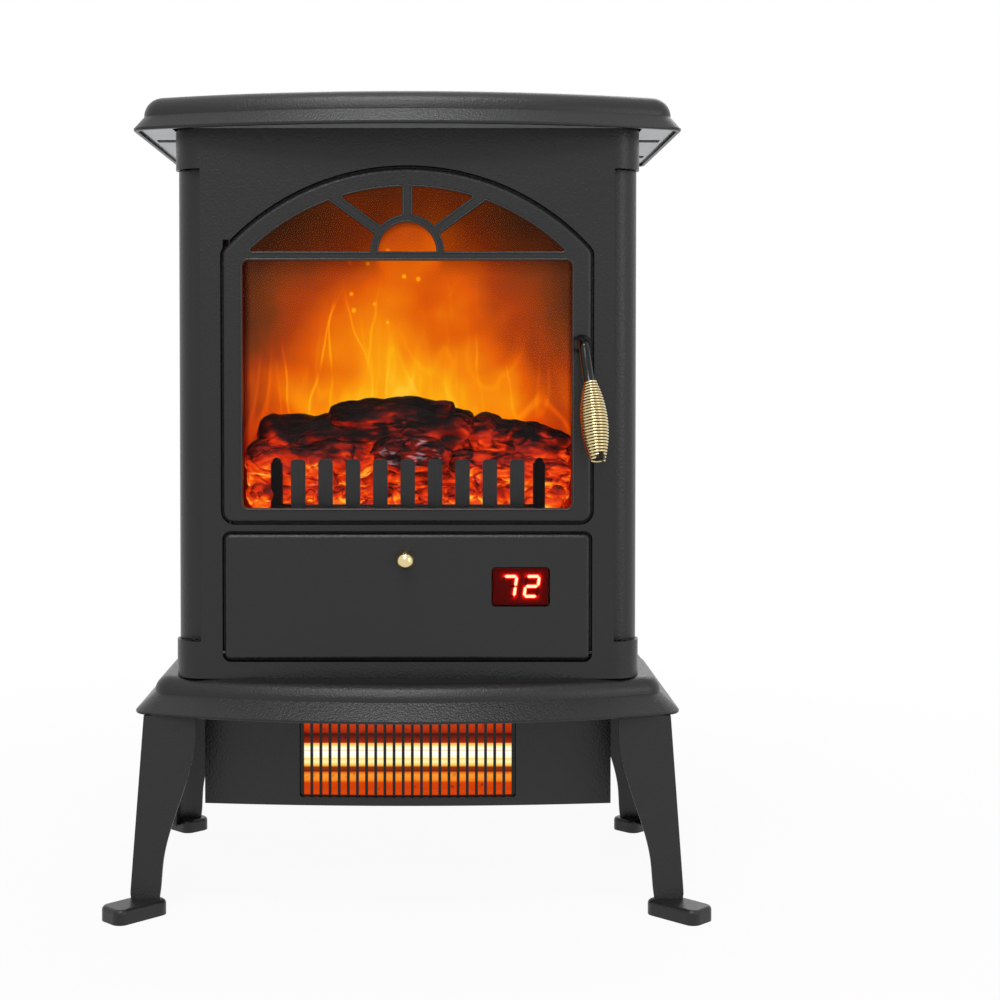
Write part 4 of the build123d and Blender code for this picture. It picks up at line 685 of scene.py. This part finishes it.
    def material(self) -> bpy.types.Material:
        """Back-lit diffusing acrylic: brown at the edges, orange to yellow over the logs.

        Returns:
            The material.
        """
        material, tree = new_material("back-lit flame acrylic", empty=True)
        place = add_node(tree, COORDINATES).outputs["Object"]
        x, _, z = add_node(tree, SEPARATE, {0: place}).outputs
        across = add_node(tree, MATH, {"operation": "ABSOLUTE", 0: x})
        ember_height, fanlight_height = (
            add_node(tree, MAP_RANGE, {"From Min": low, "From Max": high, "Value": z})
            for low, high in (self.ember_band, self.fanlight_band))
        # Painted lighter disc: the hub is mostly kept out of the fanlight's painted shade
        off_hub = add_node(tree, MAP_RANGE, {"From Min": 0.022, "From Max": 0.027, "To Min": 0.15,
                                             "Value": self.distance(tree, place, self.hub)})
        colour = add_node(tree, RAMP, {"stops": self.heats, 0: self.heat(tree, place, x, z)}).outputs[0]
        for stops, source, share in ((self.wall, across, 1.0), (self.embers, ember_height, 1.0),
                                     (self.fanlight, fanlight_height, off_hub)):
            shade = add_node(tree, RAMP, {"stops": stops, 0: source})
            colour = add_node(tree, MIX, {"data_type": "RGBA", "blend_type": "MULTIPLY", 0: share,
                                          6: colour, 7: shade}).outputs[2]
        add_node(tree, SURFACE_OUT, {0: add_node(tree, "ShaderNodeEmission", {
            "Color": colour, "Strength": self.glow})})
        return material

    def build(self) -> None:
        """Light the flame screen."""
        paint(("flame_screen",), self.material())


@dataclass(frozen=True)
class Log:
    """One log of the bed: two ends, radii at both, flattening in height, seed, and whether it is sawn."""

    start: tuple[float, float, float]
    end: tuple[float, float, float]
    thick: tuple[float, float]
    squash: float
    seed: int
    sawn: bool = False

    def bluntness(self) -> tuple[float, float]:
        """How full the log's ends are, and how far from an end it is back at its full thickness."""
        return (0.80, 3.0) if self.sawn else (0.30, 13.0)


@dataclass
class LogBed:
    """Charred resin logs over a bed of glowing embers. The logs' sizes are in millimetres."""

    around: int = 72
    along: int = 60
    bark: float = 2.6
    cracks: float = 1.5
    knobs: float = 0.30
    sway: float = 3.0
    cap_rings: int = 5
    # The coals: least spacing and radius in metres, points a square metre before thinning, and scatter
    spacing: float = 0.0062
    lump: float = 0.0072
    density: float = 60000.0
    lump_share: tuple[float, float] = (0.55, 1.15)
    seed: int = 4
    logs: tuple[Log, ...] = (
        Log((-114, -21, 331), (52, -22, 339), (17, 18), 1.0, 1),
        Log((-60, -27, 347), (36, -27, 349), (13, 14), 1.0, 2),
        Log((44, -25, 339), (122, -23, 321), (16, 15), 1.0, 3),
        Log((-122, -29, 315), (-26, -34, 320), (15, 13), 1.0, 4),
        Log((2, -54, 322), (2, -26, 324), (30, 27), 0.47, 5, True),
        Log((121, -34, 303), (30, -32, 317), (12, 13), 1.0, 6),
        Log((-68, -49, 300), (-60, -24, 304), (12.5, 12), 1.0, 7, True),
        Log((50, -47, 297), (70, -26, 300), (10, 9), 1.0, 8, True),
        Log((-122, -18, 303), (122, -19, 304), (14, 15), 1.0, 9),
    )
    heats: Stops = ((0.12, "#060101"), (0.26, "#220302"), (0.39, "#560a02"), (0.52, "#9c1602"),
                    (0.67, "#d82e03"), (0.79, "#f04a08"), (0.90, "#ff8a18"), (1.0, "#ffc23c"))

    def bark_points(self, log: Log) -> list[Vector]:
        """Rings of points along a log whose bark is furrowed, knotty and cracked.

        Args:
            log: the log.

        Returns:
            The points in millimetres, ring by ring from its start.
        """
        start, end = Vector(log.start), Vector(log.end)
        run = end - start
        axis = run.normalized()
        side = axis.cross(Vector((0, 0, 1))).normalized()
        rise = side.cross(axis).normalized()
        offset = self.offset(log)
        blunt, reach = log.bluntness()
        points = []
        for i in range(self.along + 1):
            t = i / self.along
            part = min(min(t, 1 - t) * run.length / reach, 1.0)
            shrink = blunt + (1.0 - blunt) * math.sqrt(part * (2.0 - part))
            sway = Vector((0, noise.noise(Vector((t * 2.2, log.seed, 0))) * self.sway,
                           noise.noise(Vector((t * 2.6, log.seed, 7.0))) * self.sway))
            for k in range(self.around):
                angle = TURN * k / self.around
                x, y = math.cos(angle), math.sin(angle)
                furrow = noise.noise(Vector((x * 3.2, y * 3.2, t * run.length * 0.035)) + offset)
                ridge = 1.0 - abs(furrow) * 2.2
                knob = noise.noise(Vector((x * 1.3, y * 1.3, t * run.length * 0.052)) + offset * 2)
                check = noise.noise(Vector((x * 6, y * 6, t * run.length * 0.16)) + offset)
                radius = (log.thick[0] * (1 - t) + log.thick[1] * t) * shrink * (1 + self.knobs * knob)
                radius += self.bark * 0.5 * (ridge - 0.6) + self.cracks * check
                points.append(start + run * t + sway + side * x * radius + rise * y * radius * log.squash)
        return points

    def offset(self, log: Log) -> Vector:
        """Where a log's own stretch of noise lies."""
        return Vector((log.seed * 13.7, log.seed * 5.1, 0))

    def log_mesh(self, log: Log) -> tuple[list[Vector], list[tuple]]:
        """Vertices and faces of one log with furrowed bark and rough cut ends.

        Args:
            log: the log.

        Returns:
            Its points in millimetres and its faces: the bark's first, then those of both ends.
        """
        points = self.bark_points(log)
        n = self.around
        faces = [(i * n + k, i * n + (k + 1) % n, (i + 1) * n + (k + 1) % n, (i + 1) * n + k)
                 for i in range(self.along) for k in range(n)]
        axis = (Vector(log.end) - Vector(log.start)).normalized()
        # Cut ends: rings of shrinking radius with a slightly dished, cracked face
        for base, outward in ((0, -axis), (self.along * n, axis)):
            previous = list(range(base, base + n))
            middle = sum((points[p] for p in previous), Vector()) / n
            for ring in range(self.cap_rings):
                step = 0.88 - 0.19 * ring
                dish = 0.6 if step < 0.8 else 0.0
                ring_ids = list(range(len(points), len(points) + n))
                for p in range(base, base + n):
                    spot = middle + (points[p] - middle) * step
                    points.append(spot + outward * (noise.noise(spot * 0.35 + self.offset(log)) * 1.3 - dish))
                for k in range(n):
                    quad = (previous[k], previous[(k + 1) % n], ring_ids[(k + 1) % n], ring_ids[k])
                    faces.append(quad if base else quad[::-1])
                previous = ring_ids
            faces.append(tuple(previous) if base else tuple(reversed(previous)))
        return points, faces

    def material(self, name: str, heat_up: float, ash: Stops) -> bpy.types.Material:
        """Charred resin: black on top, lit from inside in its cracks, and with painted light low down and
        underneath.

        Args:
            name: what the material is called.
            heat_up: how much hotter it is than the plain log, as a step along the ramp of heat.
            ash: ramp of the crust's own colour, by the crack noise.

        Returns:
            The material.
        """
        material, tree = new_material(name)
        coordinates = add_node(tree, COORDINATES).outputs
        place = coordinates["Object"]
        height = add_node(tree, SEPARATE, {0: place}).outputs[2]
        upward = add_node(tree, SEPARATE, {0: coordinates["Normal"]}).outputs[2]
        # Patches of heat some 23 mm wide, veins between them, and cracks of 6 mm drawn out along the log
        patches = add_node(tree, NOISE, {"Scale": 44.0, "Detail": 4.0, "Roughness": 0.62, "Distortion": 0.6,
                                         "Vector": place})
        grain = add_node(tree, MAPPING, {"Scale": (0.45, 1.0, 1.5), "Vector": place})
        cracks = add_node(tree, NOISE, {"Scale": 170.0, "Detail": 4.0, "Roughness": 0.65, "Vector": grain})
        split = add_node(tree, MAPPING, {"Scale": (0.5, 1.0, 1.3), "Location": (0.3, 0.0, 0.1),
                                         "Vector": place})
        veins = add_node(tree, NOISE, {"Scale": 42.0, "Detail": 3.0, "Distortion": 0.8, "Vector": split})
        off_vein = add_node(tree, MATH, {"operation": "SUBTRACT", 0: veins, 1: 0.5})
        off_vein = add_node(tree, MATH, {"operation": "ABSOLUTE", 0: off_vein})
        fissure = add_node(tree, MAP_RANGE, {"From Min": 0.004, "From Max": 0.030, "To Min": -0.26,
                                             "To Max": 0.0, "Value": off_vein})
        # Painted light: the resin glows more lower down, nearer the lamps under the logs, and on faces that
        # look down, where that light falls
        low = add_node(tree, MAP_RANGE, {"From Min": 0.352, "From Max": 0.292, "To Min": -0.18,
                                         "To Max": 0.26, "Value": height})
        under = add_node(tree, MATH, {"operation": "MULTIPLY_ADD", 0: upward, 1: -0.20, 2: heat_up})
        blotch = add_node(tree, MATH, {"operation": "MULTIPLY_ADD", 0: patches, 1: 1.35, 2: -0.19})
        crack = add_node(tree, MATH, {"operation": "MULTIPLY_ADD", 0: cracks, 1: 0.62, 2: -0.31})
        heat = blotch
        for more in (fissure, low, under, crack):
            heat = add_node(tree, MATH, {"operation": "ADD", 0: heat, 1: more})
        relief = add_node(tree, MATH, {"operation": "MULTIPLY_ADD", 0: fissure, 1: 2.5, 2: cracks})
        bump = add_node(tree, "ShaderNodeBump", {"Strength": 0.8, "Distance": 0.0014, "Height": relief})
        fill_node(tree, tree.nodes["Principled BSDF"], {
            "Base Color": add_node(tree, RAMP, {"stops": ash, 0: cracks}),
            "Emission Color": add_node(tree, RAMP, {"stops": self.heats, 0: heat}),
            "Normal": bump, "Emission Strength": 1.0, "Roughness": 0.5, "Specular IOR Level": 0.08})
        return material

    def coals(self, material: bpy.types.Material) -> bpy.types.Object:
        """Lumps of ember strewn over the tray, laid by Geometry Nodes and made one mesh.

        Args:
            material: the finish of the lumps.

        Returns:
            The finished mesh object.
        """
        low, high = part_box("ember_bed")
        corners = [(low.x, low.y, high.z), (high.x, low.y, high.z), (high.x, high.y, high.z),
                   (low.x, high.y, high.z)]
        tray = mesh_object("ember_tray_top", corners, [(0, 1, 2, 3)])
        tree = bpy.data.node_groups.new("strewn embers", "GeometryNodeTree")
        for way in ("INPUT", "OUTPUT"):
            tree.interface.new_socket("Geometry", in_out=way, socket_type="NodeSocketGeometry")
        for name, kind, value in (("Spacing", "Float", self.spacing), ("Lump", "Float", self.lump),
                                  ("Seed", "Int", self.seed)):
            size = tree.interface.new_socket(name, in_out="INPUT", socket_type="NodeSocket" + kind)
            size.default_value = value
        entry = add_node(tree, "NodeGroupInput").outputs
        points = add_node(tree, "GeometryNodeDistributePointsOnFaces", {
            "distribute_method": "POISSON", "Mesh": entry["Geometry"], "Distance Min": entry["Spacing"],
            "Seed": entry["Seed"], "Density Max": self.density})
        lump = add_node(tree, "GeometryNodeMeshIcoSphere", {"Subdivisions": 3, "Radius": entry["Lump"]})
        turn = add_node(tree, "FunctionNodeRandomValue", {"data_type": "FLOAT_VECTOR", "Seed": entry["Seed"],
                                                          1: (6.28, 6.28, 6.28)})
        least, most = self.lump_share
        grow = add_node(tree, "FunctionNodeRandomValue", {"data_type": "FLOAT", "Seed": entry["Seed"],
                                                          2: least, 3: most})
        strewn = add_node(tree, "GeometryNodeInstanceOnPoints", {
            "Points": points, "Instance": lump, "Rotation": turn.outputs["Value"], "Scale": grow.outputs[1]})
        real = add_node(tree, "GeometryNodeRealizeInstances", {0: strewn})
        rough = add_node(tree, NOISE, {"Scale": 110.0, "Detail": 2.0,
                                       "Vector": add_node(tree, "GeometryNodeInputPosition")})
        swell = add_node(tree, MATH, {"operation": "MULTIPLY_ADD", 0: rough, 1: 0.011, 2: -0.0055})
        normal = add_node(tree, "GeometryNodeInputNormal")
        push = add_node(tree, VECTOR_MATH, {"operation": "SCALE", 0: normal, "Scale": swell})
        lumpy = add_node(tree, "GeometryNodeSetPosition", {"Geometry": real, "Offset": push})
        done = add_node(tree, "GeometryNodeSetMaterial", {"Material": material, "Geometry": lumpy})
        add_node(tree, "NodeGroupOutput", {0: done})
        return apply_nodes(tray, tree, "glowing_coals", material)

    def build(self) -> None:
        """Lay the embers and pile the logs on them."""
        # Cast and painted resin, lit from behind: soot black with red and orange heat in the cracks
        charred = self.material("charred resin log with ember glow", 0.0,
                                ((0.3, "#020202"), (0.6, "#080707"), (0.8, "#2a2627")))
        # The cut ends are dusted with ash: greyer and less hot
        sawn = self.material("sawn log end with pale ash", -0.12,
                             ((0.50, "#080404"), (0.56, "#2a1c1e"), (0.66, "#a8a0aa")))
        points: list[Vector] = []
        faces: list[tuple] = []
        ends: list[int] = []
        for log in self.logs:
            first = len(points)
            more, sides = self.log_mesh(log)
            points += [p * MM for p in more]
            if log.sawn:
                cap = len(faces) + self.along * self.around
                ends += range(cap - 2 * self.around, cap + self.cap_rings * self.around + 1)
            faces += [tuple(first + i for i in face) for face in sides]
        logs = mesh_object("charred_logs", points, faces, charred)
        logs.data.materials.append(sawn)
        for index in ends:
            logs.data.polygons[index].material_index = 1
        smooth(logs)
        settle(logs, "root", "log_resin", "log_set")
        # The same resin nearer the lamps: almost all of it glows
        embers = self.material("glowing ember resin", -0.03, ((0.3, "#020101"), (0.7, "#120a08")))
        coals = self.coals(embers)
        smooth(coals)
        settle(coals, "root", "ember_resin")
        paint(("ember_bed",), embers)


# ---------------------------------------------------------------- display
class Stroke(Enum):
    """The seven strokes of a digit: both ends, in half widths and half heights from its middle."""

    TOP = ((-1, 1), (1, 1))
    UPPER_RIGHT = ((1, 1), (1, 0))
    LOWER_RIGHT = ((1, 0), (1, -1))
    FOOT = ((-1, -1), (1, -1))
    LOWER_LEFT = ((-1, 0), (-1, -1))
    UPPER_LEFT = ((-1, 1), (-1, 0))
    MIDDLE = ((-1, 0), (1, 0))


@dataclass(frozen=True)
class LitPlastic:
    """A lit light-emitting segment, or its unlit neighbour with a faint painted glow."""

    name: str
    glow_hex: str
    strength: float

    def build(self) -> bpy.types.Material:
        """Make the material: tinted resin with an even light of its own.

        Returns:
            The material.
        """
        material, tree = new_material(self.name)
        fill_node(tree, tree.nodes["Principled BSDF"], {
            "Base Color": linear("#200000"), "Emission Color": linear(self.glow_hex),
            "Emission Strength": self.strength, "Roughness": 0.4})
        return material


@dataclass
class Display:
    """Lit red digits on the display module, behind the red lens of the flap. Sizes are in millimetres."""

    number: str = "72"
    digit: tuple[float, float] = (9.0, 14.4)
    pitch: float = 16.2
    stroke: float = 2.0
    slant: float = 0.14
    shoulder: float = 0.62
    tip: float = 0.12
    off_face: float = 0.02
    raised: dict[bool, float] = field(default_factory=lambda: {True: 0.22, False: 0.12})
    segments: dict[str, tuple[Stroke, ...]] = field(default_factory=lambda: {
        "7": (Stroke.TOP, Stroke.UPPER_RIGHT, Stroke.LOWER_RIGHT),
        "2": (Stroke.TOP, Stroke.UPPER_RIGHT, Stroke.MIDDLE, Stroke.LOWER_LEFT, Stroke.FOOT)})
    # Over-bright, so that the strokes stay pale behind the red lens
    lit: LitPlastic = LitPlastic("lit segments", "#fff4c8", 8.0)
    # Painted glow: the unlit strokes give out a faint red light of their own
    unlit: LitPlastic = LitPlastic("unlit segments", "#5a0408", 0.25)
    grid: tuple[int, int] = (100, 66)
    spill_from: float = 0.8
    spill_reach: float = 1.5
    spill_share: tuple[float, float] = (0.95, 0.04)

    def bar(self, stroke: Stroke) -> list[Vector]:
        """Outline of one stroke: a long hexagon, slanted as the digit is.

        Args:
            stroke: which of the seven it is.

        Returns:
            Six corners in millimetres from the digit's middle; the first and fourth are its tips.
        """
        w, h = self.digit[0] / 2, self.digit[1] / 2
        a, b = (Vector((x * w, y * h, 0)) for x, y in stroke.value)
        along = (b - a).normalized()
        across = Vector((-along.y, along.x, 0)) * self.stroke / 2
        inner = along * self.stroke * self.shoulder
        tip = along * self.stroke * self.tip
        outline = [a + tip, a + inner - across, b - inner - across,
                   b - tip, b - inner + across, a + inner + across]
        return [Vector((p.x + p.y * self.slant, p.y, 0)) for p in outline]

    def halo(self) -> bpy.types.Material:
        """Red light spilt on the face of the display, brightest behind the lit strokes.

        Returns:
            The material.
        """
        material, tree = new_material("red light in the display moulding")
        spill = add_node(tree, "ShaderNodeVertexColor", {"layer_name": "spill"})
        colour = add_node(tree, RAMP, {0: spill, "stops": ((0.0, "#160002"), (0.25, "#5c0006"),
                                                           (0.6, "#c4060c"), (1.0, "#ff3a22"))})
        fill_node(tree, tree.nodes["Principled BSDF"], {
            "Base Color": linear("#0a0000"), "Emission Color": colour, "Emission Strength": 1.0})
        return material

    def build(self) -> None:
        """Lay the lit and the unlit strokes on the module's face, with the glow behind them."""
        low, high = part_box("display_module")
        centre = Vector(((low.x + high.x) / 2, low.y, (low.z + high.z) / 2))
        lines: list[tuple[Vector, Vector]] = []
        shapes: dict[bool, tuple[list, list]] = {True: ([], []), False: ([], [])}
        for place, digit in enumerate(self.number):
            middle = (place - (len(self.number) - 1) / 2) * self.pitch
            for stroke in Stroke:
                on = stroke in self.segments[digit]
                points, faces = shapes[on]
                first = len(points)
                outline = [Vector((p.x + middle, 0, p.y)) for p in self.bar(stroke)]
                for depth in (0.0, self.raised[on]):
                    points += [centre + (p + Vector((0, -self.off_face - depth, 0))) * MM for p in outline]
                count = len(outline)
                faces.append(tuple(range(first + count, first + 2 * count)))
                faces += [(first + i, first + n, first + count + n, first + count + i)
                          for i, n in ((i, (i + 1) % count) for i in range(count))]
                if on:
                    lines.append((outline[0], outline[3]))
        for name, on in (("lit_segments", True), ("unlit_segments", False)):
            finish = self.lit if on else self.unlit
            settle(mesh_object(name, *shapes[on], finish.build()), "root", "display_body")
        self.spill(centre, low, high, lines)

    def spill(self, centre: Vector, low: Vector, high: Vector, lines: list[tuple[Vector, Vector]]) -> None:
        """A thin face over the module whose colour falls off with distance from the lit strokes.

        Args:
            centre: the middle of the module's face.
            low: the least corner of the module's box.
            high: its greatest corner.
            lines: both ends of each lit stroke, in millimetres from the centre.
        """
        columns, rows = self.grid
        most, least = self.spill_share
        points, faces, values = [], [], []
        for j in range(rows + 1):
            for i in range(columns + 1):
                x = low.x + (high.x - low.x) * i / columns
                z = low.z + (high.z - low.z) * j / rows
                spot = Vector((x - centre.x, 0, z - centre.z)) / MM
                near = min(self.distance(spot, a, b) for a, b in lines)
                values.append(math.exp(-max(0.0, near - self.spill_from) / self.spill_reach) * most + least)
                points.append((x, low.y - self.off_face / 2 * MM, z))
        for j in range(rows):
            for i in range(columns):
                a = j * (columns + 1) + i
                faces.append((a, a + 1, a + columns + 2, a + columns + 1))
        face = mesh_object("display_glow", points, faces, self.halo())
        layer = face.data.color_attributes.new("spill", "FLOAT_COLOR", "POINT")
        for item, value in zip(layer.data, values):
            item.color = (value, value, value, 1.0)
        settle(face, "root", "display_body")

    def distance(self, spot: Vector, a: Vector, b: Vector) -> float:
        """How far a spot is from the line between two points."""
        run = b - a
        t = max(0.0, min(1.0, (spot - a).dot(run) / run.length_squared))
        return (spot - a - run * t).length


# ---------------------------------------------------------------- handle grip
@dataclass
class Grip:
    """Brass wire wound in a close barrel-shaped coil round the handle's rod. Sizes are in millimetres."""

    turns: int = 27
    wire: float = 1.65
    ends: tuple[float, float] = (4.3, 5.5)
    belly: float = 9.75
    rod_short: float = 1.2
    end_ring: float = 0.4
    narrowings: int = 6
    steps: int = 36
    around: int = 10

    def build(self) -> None:
        """Sweep the wire along the helix inside the barrel's outer shape."""
        start, end = self.axis_of([v.co for v in NODES["handle_coil_grip"].data.vertices])
        run = end - start
        forward = run.normalized()
        side = forward.cross(Vector((0, 1, 0))).normalized()
        rise = forward.cross(side)
        points, faces = [], []
        total = self.turns * self.steps
        inset = self.wire / 2 * MM
        for i in range(total + 1):
            t = i / total
            angle = TURN * self.turns * t
            spot = start + forward * (inset + (run.length - 2 * inset) * t)
            spoke = side * math.cos(angle) + rise * math.sin(angle)
            centre = spot + spoke * (self.radius(t) - self.wire / 2) * MM
            for k in range(self.around):
                turn = TURN * k / self.around
                outward = spoke * math.cos(turn) + forward * math.sin(turn)
                points.append(centre + outward * self.wire / 2 * MM)
        for i in range(total):
            for k in range(self.around):
                a, b = i * self.around + k, i * self.around + (k + 1) % self.around
                faces.append((a, b, b + self.around, a + self.around))
        faces.append(tuple(range(self.around - 1, -1, -1)))
        faces.append(tuple(range(total * self.around, (total + 1) * self.around)))
        # Drawn through a die and left bare: each turn carries its own sharp highlight
        finish = Coating("drawn brass wire", "#cdb986", "#e9dcb0", 0.15, 0.8, 0.03, 1.0)
        coil = mesh_object("wound_grip", points, faces, finish.build())
        smooth(coil)
        settle(coil, "handle", "brass", "handle_coil_grip")
        self.cut_rod(start, forward, run.length - self.rod_short * MM)

    def cut_rod(self, start: Vector, forward: Vector, reach: float) -> None:
        """Make the rod that ends just inside the last turn of the coil.

        Args:
            start: the upper end of the coil's axis.
            forward: unit direction down that axis.
            reach: how far the rod goes along it.
        """
        rod = NODES["handle_rod"]
        points = [v.co.copy() for v in rod.data.vertices]
        for spot in points:
            past = (spot - start).dot(forward) - reach
            if past > 0.0:
                spot -= forward * past
        cut = mesh_object("hidden_end_rod", points, [tuple(f.vertices) for f in rod.data.polygons],
                          rod.data.materials[0])
        merged = bmesh.new()
        merged.from_mesh(cut.data)
        bmesh.ops.remove_doubles(merged, verts=merged.verts, dist=MERGE)
        bmesh.ops.dissolve_degenerate(merged, edges=merged.edges, dist=MERGE)
        merged.to_mesh(cut.data)
        merged.free()
        smooth(cut)
        settle(cut, "handle", "rod_paint", "handle_rod")

    def radius(self, t: float) -> float:
        """Outer radius of the barrel at a share t of its length: one arc through ends and belly.

        Args:
            t: share of the barrel's length, from its upper end.

        Returns:
            The radius in millimetres.
        """
        chord = self.ends[0] * (1 - t) + self.ends[1] * t
        bulge = self.belly - sum(self.ends) / 2
        return chord + bulge * 4 * t * (1 - t)

    def axis_of(self, corners: list[Vector]) -> tuple[Vector, Vector]:
        """The barrel's axis: centres of its two end rings, found by narrowing down from the extremes.

        Args:
            corners: the points of the barrel's mesh.

        Returns:
            The upper and the lower end of the axis.
        """
        top, foot = max(corners, key=lambda c: c.z), min(corners, key=lambda c: c.z)
        for _ in range(self.narrowings):
            along = (foot - top).normalized()
            reach = [c.dot(along) for c in corners]
            near, far = min(reach) + self.end_ring * MM, max(reach) - self.end_ring * MM
            first = [c for c, r in zip(corners, reach) if r < near]
            last = [c for c, r in zip(corners, reach) if r > far]
            top, foot = sum(first, Vector()) / len(first), sum(last, Vector()) / len(last)
        return top, foot


# ---------------------------------------------------------------- heater
@dataclass
class Heater:
    """Glowing quartz tubes in front of their crinkled bright reflector, which carries a painted reflection of
    them. Heats and the painted reflection are by height in metres.
    """

    middle: tuple[float, float, float] = (0.0, -0.035, 0.095)
    tube_heat: Stops = ((0.0812, "#6a1e08"), (0.0862, "#8a3410"), (0.0874, "#ffb438"), (0.0900, "#fff2b0"),
                        (0.0925, "#ffd060"), (0.0936, "#ffc040"), (0.0955, "#fff4c0"), (0.1010, "#ffffff"),
                        (0.1018, "#ffd270"), (0.1026, "#ffffff"), (0.1045, "#ffe890"), (0.1062, "#ff9a28"))
    # Painted reflection of the tubes' red light in the foil, in bands by height
    foil_painted_reflection: Stops = ((0.060, "#b4320a"), (0.072, "#d8440a"), (0.0735, "#ff8c24"), (0.0765, "#ff9c34"),
                        (0.0785, "#e05a14"), (0.082, "#a82c06"), (0.100, "#961a04"), (0.1035, "#640e02"),
                        (0.1055, "#360602"), (0.1075, "#a82404"), (0.114, "#cc3a06"), (0.130, "#a02404"))
    crinkle: Stops = ((0.28, "#c0c0c0"), (0.40, "#fafafa"), (0.70, "#ffffff"))

    def by_height(self, tree: Tree, heats: Stops) -> bpy.types.Node:
        """Colour ramp over height, of the tubes' glow or of its painted reflection.

        Args:
            tree: the node tree to add to.
            heats: heights in metres and their colours, from the lowest up: the tubes' glow or the foil's
                painted reflection.

        Returns:
            The ramp's node.
        """
        low, high = heats[0][0], heats[-1][0]
        height = add_node(tree, SEPARATE, {0: add_node(tree, COORDINATES).outputs["Object"]}).outputs[2]
        share = add_node(tree, MAP_RANGE, {"From Min": low, "From Max": high, "Value": height})
        return add_node(tree, RAMP, {"stops": [((z - low) / (high - low), colour) for z, colour in heats],
                                     0: share})

    def quartz(self) -> bpy.types.Material:
        """Quartz lit from inside by its filament; the lower half of the lower tube has a dull gold coat.

        Returns:
            The material.
        """
        material, tree = new_material("glowing quartz glass", empty=True)
        light = add_node(tree, "ShaderNodeEmission", {"Color": self.by_height(tree, self.tube_heat),
                                                      "Strength": 1.1})
        add_node(tree, SURFACE_OUT, {0: light})
        return material

    def foil(self) -> bpy.types.Material:
        """Crinkled bright aluminium with a painted reflection of the tubes' red light in bands, broken by the
        crinkles, on its inner side only.

        Returns:
            The material.
        """
        material, tree = new_material("crinkled bright aluminium reflector in red light")
        coordinates = add_node(tree, COORDINATES).outputs
        crinkle = add_node(tree, NOISE, {"Scale": 190.0, "Detail": 2.0, "Roughness": 0.6,
                                         "Vector": coordinates["Object"]})
        colour = add_node(tree, MIX, {"data_type": "RGBA", "blend_type": "MULTIPLY", 0: 1.0,
                                      6: self.by_height(tree, self.foil_painted_reflection),
                                      7: add_node(tree, RAMP, {"stops": self.crinkle, 0: crinkle})})
        inward = add_node(tree, VECTOR_MATH, {"operation": "SUBTRACT", 0: self.middle,
                                              1: coordinates["Object"]})
        flat = add_node(tree, VECTOR_MATH, {"operation": "MULTIPLY", 0: inward, 1: (0.0, 1.0, 1.0)})
        facing = add_node(tree, VECTOR_MATH, {"operation": "DOT_PRODUCT", 0: flat, 1: coordinates["Normal"]})
        inside = add_node(tree, MATH, {"operation": "GREATER_THAN", 0: facing.outputs["Value"], 1: 0.0})
        lit = add_node(tree, MIX, {"data_type": "RGBA", 0: inside, 6: linear("#000000"),
                                   7: colour.outputs[2]})
        bump = add_node(tree, "ShaderNodeBump", {"Strength": 0.4, "Distance": 0.0006, "Height": crinkle})
        fill_node(tree, tree.nodes["Principled BSDF"], {
            "Base Color": linear("#140604"), "Emission Color": lit.outputs[2], "Emission Strength": 1.0,
            "Normal": bump, "Metallic": 0.0, "Roughness": 0.45, "Specular IOR Level": 0.2})
        return material

    def build(self) -> None:
        """Light the tubes, paint their reflection on the reflector, and tint the lens of the display."""
        paint(("quartz_tubes",), self.quartz())
        paint(("heater_reflector",), self.foil())
        paint(("display_window",), ClearPane("red display lens", "#ffa8a0", 0.03).build())


def main() -> None:
    """Build the stage, dress the frame, add the pieces and report them."""
    logging.basicConfig(level=logging.INFO, format="%(message)s")
    Studio().build()
    for part in (Case(), DoorTrim(), LogBed(), FlameBox(), Display(), Grip(), Heater()):
        part.build()


if __name__ == "__main__":
    main()
